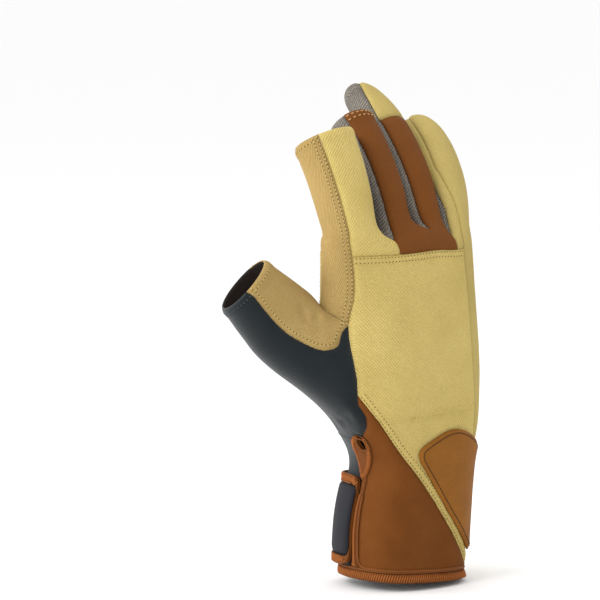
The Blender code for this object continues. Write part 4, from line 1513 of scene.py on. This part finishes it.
def soft_sky():
    """A white sky that is a little darker to the right of the glove and in front of it."""
    world = bpy.data.worlds.new("studio")
    world.use_nodes = True
    tree = world.node_tree
    axis = sum((way * share for way, share in zip(view_directions(), SKY_AXIS)), Vector()).normalized()
    towards = add_node(tree, "ShaderNodeVectorMath",
                       {0: add_node(tree, "ShaderNodeTexCoord").outputs["Generated"], 1: axis},
                       operation="DOT_PRODUCT").outputs["Value"]
    height = add_node(tree, "ShaderNodeSeparateXYZ",
                      {0: add_node(tree, "ShaderNodeTexCoord").outputs["Generated"]}).outputs[2]
    level = maths(tree, "SUBTRACT", 1.0, maths(tree, "MULTIPLY", height, SKY_BAND))
    spread = add_node(tree, "ShaderNodeMapRange", {
        "Value": maths(tree, "MAXIMUM", towards, level), "From Min": SKY_SPREAD[0],
        "From Max": SKY_SPREAD[1], "To Min": SKY * SKY_SHADE, "To Max": SKY},
        interpolation_type="SMOOTHSTEP").outputs[0]
    background = tree.nodes["Background"]
    background.inputs["Color"].default_value = (1, 1, 1, 1)
    tree.links.new(spread, background.inputs["Strength"])
    return world


def add_stage():
    """A plain pale floor just below the cuff, under plain soft studio light."""
    bm = bmesh.new()
    bmesh.ops.create_circle(bm, cap_ends=True, segments=FLOOR_SIDES, radius=FLOOR_RADIUS,
                            matrix=Matrix.Translation((0, 0, -FLOOR_DROP)))
    mesh = bpy.data.meshes.new("floor")
    bm.to_mesh(mesh)
    bm.free()
    floor = new_object("floor", mesh)
    paint = bpy.data.materials.new("pale_floor")
    paint.use_nodes = True
    shader = paint.node_tree.nodes["Principled BSDF"]
    shader.inputs["Base Color"].default_value = (FLOOR_SHADE, FLOOR_SHADE, FLOOR_SHADE, 1)
    shader.inputs["Roughness"].default_value = FLOOR_ROUGHNESS
    mesh.materials.append(paint)
    bpy.context.scene.world = soft_sky()
    bpy.context.scene.view_settings.view_transform = "Standard"
    for lamp in LAMPS:
        add_lamp(*lamp)


def add_piece(name, bm, finishes, slot, nodes=()):
    """A new piece from a finished bmesh, which rides with the glove and stands for its CAD nodes."""
    mesh = bpy.data.meshes.new(name)
    bmesh.ops.recalc_face_normals(bm, faces=bm.faces)
    bm.to_mesh(mesh)
    bm.free()
    mesh.shade_smooth()
    for finish in finishes:
        mesh.materials.append(FINISHES[finish])
    piece = new_object(name, mesh)
    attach(piece, "root")
    if nodes:
        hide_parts(*nodes)
    return piece


def open_tips(roots):
    """The middle and forward direction of each open tip."""
    tips = {}
    for finger in FINGERS:
        if not finger.closed:
            centre, _, _, forward = finger_path(finger, roots[finger.name], 1.0)
            tips[finger.name] = centre, forward
    root, forward, _, _ = thumb_frame()
    tips["thumb"] = root + forward * THUMB_LENGTH, forward
    return tips


def tip_depth(point, tips):
    """How far a point lies back from the open tip that it is nearest to."""
    centre, forward = min(tips, key=lambda tip: (point - tip[0]).length)
    if (point - centre).length > TIP_REACH:
        return TIP_REACH
    return (centre - point).dot(forward)


def hemmed(tips):
    """The wall's height, with the cloth folded double at the open tips."""
    def height(point):
        return WALL + TIP_HEM_RISE * clamped((TIP_HEM - tip_depth(point, tips)) / TIP_HEM_STEP)
    return height


def ring_side(point):
    """Positive past the knit edge of the ring fingertip's back."""
    return seam_place(RING_SEAM, point.y) - point.x


def cuff_side(point):
    """Positive over the cuff, where the suede of the thumb side meets it below the wrist."""
    return seam_place(CUFF_SEAM, point.z) - round_the_wrist(point)


def to_the_right(point):
    """How far to the right of the glove's axis a point lies, as the camera sees it."""
    return point.dot(view_directions()[0])


def thumb_side(point):
    """Positive over the back panel, where it wraps towards the thumb."""
    if not THUMB_SEAM[0][0] < point.z < THUMB_SEAM[-1][0]:
        return -HALF_DEPTH
    return min(to_the_right(point) - seam_place(THUMB_SEAM, point.z), -point.y)


def thumb_front(point):
    """Positive on the half of the thumb that the back of the hand shows."""
    root, _, _, palm = thumb_frame()
    return (root - point).dot(palm)


def web_fill(point):
    """Positive where the web panel reaches down to its lower corner."""
    side = seam_place(WEB_SIDE if point.z < WEB_APEX else THUMB_SEAM, point.z) - to_the_right(point)
    above = point.z - seam_place(WEB_BOTTOM, to_the_right(point))
    if min(side, above) > 4 * WEB_SOFTNESS:
        soft = min(side, above)
    else:
        soft = -WEB_SOFTNESS * math.log(sum(math.exp(min(LARGEST_POWER, -way / WEB_SOFTNESS))
                                            for way in (side, above)))
    return min(soft, thumb_front(point))


def web_corner(point):
    """Positive past the lower edge and corner of the web panel."""
    if thumb_front(point) < 0:
        return WEB_EDGE - point.z
    if point.z > WEB_APEX:
        return -HALF_DEPTH
    return -web_fill(point)


def little_wrap(finger, root):
    """A field that is positive where the back of a finger wraps over its knit side."""
    stations = [finger_path(finger, root, step / PATH_STEPS) for step in range(PATH_STEPS + 1)]

    def field(point):
        centre, across, palm, _ = min(stations, key=lambda station: (point - station[0]).length)
        if abs((point - centre).dot(across)) > FINGER_REACH * finger.width:
            return -finger.width
        height, right = KNIT_TOP
        return min(KNIT_BACK * finger.width - (point - centre).dot(palm),
                   point.z - height + KNIT_SLOPE * (to_the_right(point) - right))
    return field


def paint_seams(surface, roots):
    """Cut the form along the seams that cross its cage, and name the zones beside them."""
    ring_cap = tip_plane(FINGERS[2], roots["ring"], RING_CAP)
    repaint(surface, ["knuckle_panel"], ring_cap, "ring_tip_back")
    repaint(surface, ["ring_palm"], ring_cap, "ring_tip_palm")
    repaint(surface, ["ring_tip_back"], ring_side, "middle_ring_gusset")
    repaint(surface, ["back_panel"], diagonal, "cuff_body")
    for name in ("little_back", "back_panel"):
        repaint(surface, [name], ulnar_side, "ulnar_panel")
    repaint(surface, ["ring_little_gusset"], little_wrap(FINGERS[3], roots["little"]), "little_back")
    repaint(surface, ["thumb_shell"], cuff_side, "cuff_body")
    repaint(surface, ["thumb_shell"], web_fill, "web_panel")
    repaint(surface, ["web_panel"], web_corner, "thumb_shell")
    for name in ("thumb_shell", "web_panel"):
        repaint(surface, [name], thumb_side, "back_panel")
    around_slit = ["cuff_body", "thumb_shell"]
    refine(surface, around_slit, rounded(SLIT_LOOP, LOOP_CORNER, unrolled))
    for name in around_slit:
        repaint(surface, [name], slit_field, "waste")
    around = ["cuff_body", "thumb_shell", "palm_base", "ulnar_panel", "back_panel"]
    repaint(surface, around, lambda point: HEM_HEIGHT - above_hem(point)[1], "hem_binding")


def add_panels(surface, tips):
    """The sewn panels, each replacing its plain solid, and the outer faces to sew on."""
    trees = {}
    hem = hemmed(list(tips.values()))
    for name, finish, slot in PANELS:
        outer = padding if name == "back_panel" else hem
        bm = thicken(cut_sheet(surface, [name]), 0, outer, rim=SEAM)
        trees[name] = BVHTree.FromBMesh(bm)
        piece = add_piece(name + "_cloth", bm, (finish, "lining"), slot, [name])
    for name in GUSSETS:
        bm = thicken(cut_sheet(surface, [name]), 0, KNIT_WALL, rim=SEAM)
        trees[name] = BVHTree.FromBMesh(bm)
        add_piece(name + "_knit", bm, ("grey_rib", "lining"), "grey_knit", [name])
    bm = thicken(cut_sheet(surface, ["hem_binding"]), -HEM_FOLD, WALL - HEM_SINK, rim=SEAM)
    trees["hem_binding"] = BVHTree.FromBMesh(bm)
    add_piece("hem_band", bm, ("binding_tape", "binding_tape"), "binding", ["hem_binding"])
    return trees


def on_the_palm(outline):
    """A patch's outline, ended at the side of the hand."""
    return lambda point: min(outline(point), point.y - PATCH_SIDE)


def patch_height(point):
    """The palm patch's outer height above the lining."""
    start, end = PATCH_GROWTH
    share = clamped((point.x - start) / (end - start))
    return PATCH_THIN + (PATCH_FULL - PATCH_THIN) * share * share * (3 - 2 * share)


def add_overlays(surface, trees):
    """The pieces that are sewn over the panels, and their flat sheets to sew round."""
    base = WALL + GAP
    sheets = {}

    def overlay(node, name, names, outlines, inner, wall, finish, slot, source=surface):
        sheet = cut_sheet(source, names, outlines)
        sheets[node] = sheet.copy()
        bm = thicken(sheet, inner, wall if callable(wall) else inner + wall)
        trees[node] = BVHTree.FromBMesh(bm)
        add_piece(name, bm, (finish, finish), slot, [node])

    palm = on_the_palm(rounded(PALM_PATCH, PATCH_CORNER, face_on))
    overlay("palm_patch", "palm_patch_cloth", ["palm_base", "thumb_shell"], [palm],
            WALL / 2, patch_height, "tan_twill", "tan_twill")
    strap_zones = ["thumb_shell", "palm_base", "ulnar_panel", "cuff_body", "hem_binding"]
    strap = rounded(strap_corners(0), STRAP_CORNER, above_hem)
    window = rounded(strap_corners(STRAP_TRIM), WINDOW_CORNER, above_hem)
    top = base + STRAP_WALL
    overlay("wrist_strap", "strap_cloth", strap_zones, [strap], base, STRAP_WALL, "brown_neoprene",
            "neoprene")
    frame_source = surface.copy()
    repaint(frame_source, strap_zones, window, "waste")
    overlay("strap_binding", "strap_band", strap_zones, [strap], top + GAP, RUBBER_WALL,
            "binding_tape", "binding", frame_source)
    frame_source.free()
    overlay("strap_panel", "rubber_plate", strap_zones, [window], top + GAP, RUBBER_WALL,
            "black_rubber", "rubber")
    patch = rounded(LEATHER_PATCH, LEATHER_CORNER, unrolled)
    overlay("leather_patch", "leather_tab", ["back_panel", "cuff_body", "ulnar_panel"], [patch],
            base, LEATHER_WALL, "brown_hide", "leather")
    overlay("cuff_edge_binding", "cuff_edge_band", ["cuff_body", "thumb_shell"], edge_trim(),
            base, BINDING_RISE, "binding_tape", "binding")
    loop = rounded(SLIT_LOOP, LOOP_CORNER, unrolled)
    overlay("slit_loop", "slit_band", ["cuff_body", "thumb_shell"], [loop], base, BINDING_RISE,
            "binding_tape", "binding")
    return sheets


def longest(lines):
    """The longest of several lines of marks."""
    return max(lines, key=lambda line: sum((b.place - a.place).length for a, b in zip(line, line[1:])))


def round_sheet(sheets, node):
    """The outer edge of an overlaid piece."""
    return longest(borders(sheets[node], ZONES))


def kept_run(marks, keep):
    """The part of a closed line whose marks pass a test."""
    passed = [keep(mark) for mark in marks]
    first = next(n for n in range(len(marks)) if passed[n] and not passed[n - 1])
    return [mark for mark in marks[first:] + marks[:first] if keep(mark)]


def edge_piping():
    """The line of the piping that runs down beside the edge trim and turns in above the hem."""
    down = STRAP_START - GAP - EDGE_TRIM - EDGE_PIPING
    top = STRAP_BOTTOM + STRAP_HEIGHT
    count = round((top - TURN_HEIGHT - TURN_RADIUS) / CORD_STEP)
    places = [(down, top - (top - TURN_HEIGHT - TURN_RADIUS) * step / count) for step in range(count)]
    for step in range(TURN_STEPS + 1):
        angle = math.pi / 2 * step / TURN_STEPS
        places.append((down - TURN_RADIUS * (1 - math.cos(angle)),
                       TURN_HEIGHT + TURN_RADIUS * (1 - math.sin(angle))))
    end = DIAGONAL_TURN
    count = round((down - TURN_RADIUS - end) / CORD_STEP)
    places += [(down - TURN_RADIUS + (end - down + TURN_RADIUS) * step / count, TURN_HEIGHT)
               for step in range(1, count)]
    return [cuff_mark(u, v) for u, v in places]


def add_stitches(surface, trees, sheets, tips):
    """The rows of stitching on the tan cloth, the brown cloth, the suede and the leather."""
    tan, light, grey, dark = (bmesh.new() for _ in range(4))
    back = [trees["back_panel"]]
    sew_rows(tan, [trees["web_panel"]],
             borders(surface, ["web_panel"], ["index_back", "back_panel"]), ROWS)
    sew_rows(tan, [trees["web_panel"]], borders(surface, ["web_panel"], ["thumb_shell"]), [WEB_ROW])
    sew_rows(tan, back, borders(surface, ["back_panel"], ["knuckle_panel", "index_back", "little_back"]),
             ROWS)
    sew_rows(tan, back, borders(surface, ["back_panel"], ["cuff_body"]), ROWS)
    sew_rows(tan, [trees["palm_patch"]], [round_sheet(sheets, "palm_patch")], [PATCH_ROW])
    for height in WRIST_ROWS:
        line = line_at(surface, ["back_panel"], lambda p: p.z - height - WRIST_ROW_RISE * p.x)
        sew_rows(tan, back, line, [0], holes=False)
    ends = list(tips.values())
    for name in ("web_panel", "middle_palm"):
        sew_rows(tan, [trees[name]], line_at(surface, [name], lambda p: TIP_ROW - tip_depth(p, ends)), [0])
    for depth in HEM_ROWS:
        lines = line_at(surface, ["knuckle_panel"], lambda p: depth - tip_depth(p, ends))
        sew_rows(light, [trees["knuckle_panel"]], lines, [0], pitch=DASH_PITCH, half_sizes=DASH)
    for name in ("thumb_shell", "palm_base"):
        sew_rows(grey, [trees[name]], line_at(surface, [name], lambda p: TIP_ROW - tip_depth(p, ends)),
                 [0], holes=False)
        lines = line_at(surface, [name], lambda point: point.z - PALM_ROW, lambda point: point.y)
        sew_rows(grey, [trees[name]], lines, [0], pitch=DASH_PITCH, half_sizes=DASH, holes=False)
    rim = round_sheet(sheets, "leather_patch")
    # Painted shade: a dark cord, sunk half into the leather, darkens the groove under the stitches
    lay_cord(dark, [trees["leather_patch"]], offset_line(rim, LEATHER_ROW), GROOVE_SHADE_CORD, SHADE_CORD_LIFT)
    sew_rows(dark, [trees["leather_patch"]], [rim], [LEATHER_ROW], holes=False)
    add_piece("tan_stitching", tan, ("tan_thread", "needle_hole_shade"), "tan_twill")
    add_piece("light_stitching", light, ("light_thread", "dark_thread_and_shade"), "brown_jersey")
    add_piece("suede_stitching", grey, ("grey_thread",), "black_suede")
    add_piece("leather_stitching", dark, ("dark_thread_and_shade",), "leather")


def add_bindings(surface, trees, sheets):
    """The overlock threads and the piping of the hem, the cuff's edge, the slit and the strap."""
    threads, cords = bmesh.new(), bmesh.new()
    everything = list(trees.values())
    hem = longest(borders(surface, ["hem_binding"]))
    whip(threads, everything, offset_line(hem, HEM_HEIGHT / 2), HEM_HEIGHT)
    outline = round_sheet(sheets, "strap_binding")
    strap = kept_run(outline, lambda mark: round_the_wrist(mark.place) > STRAP_START + STRAP_TRIM / 2)
    whip(threads, [trees["strap_binding"]], offset_line(strap, STRAP_ROW), STRAP_THREADS)
    lay_cord(cords, [trees["strap_binding"]], offset_line(strap, STRAP_CORD), PIPING)
    edge_u = STRAP_START - GAP - EDGE_TRIM / 2
    count = round(STRAP_HEIGHT / CORD_STEP)
    edge = [cuff_mark(edge_u, STRAP_BOTTOM + STRAP_HEIGHT * step / count) for step in range(count + 1)]
    whip(threads, [trees["cuff_edge_binding"]], edge, EDGE_TRIM)
    lay_cord(cords, everything, edge_piping(), PIPING)
    lines = borders(sheets["slit_loop"], ZONES)
    loop = longest(lines)
    whip(threads, [trees["slit_loop"]], offset_line(loop, LOOP_ROW), LOOP_THREADS)
    for line in lines:
        if line is not loop:
            lay_cord(cords, [trees["slit_loop"]], offset_line(line, LOOP_CORD), LOOP_CORD)
            whip(threads, [trees["slit_loop"]], offset_line(line, LOOP_CORD), LOOP_CORD * 2)
    around = longest(borders(surface, ["hem_binding"], ["cuff_body", "thumb_shell", "palm_base",
                                                       "ulnar_panel", "back_panel"]))
    lay_cord(cords, everything, offset_line(around, -PIPING), PIPING)
    add_piece("overlock_threads", threads, ("binding_thread",), "binding")
    add_piece("piping", cords, ("piping_cord",), "binding")


add_camera()
add_stage()
cage, roots = hand_cage()
surface = smoothed(cage, SMOOTHING)
paint_seams(surface, roots)
crease(surface)
tips = open_tips(roots)
WEAVE, MOTTLE, GRAIN = weave_group(), mottle_group(), grain_group()
FINISHES = {row.name: woven(*row) for row in WEAVES}
FINISHES.update({row.name: napped(*row) for row in GRAINS})
trees = add_panels(surface, tips)
sheets = add_overlays(surface, trees)
add_stitches(surface, trees, sheets, tips)
add_bindings(surface, trees, sheets)
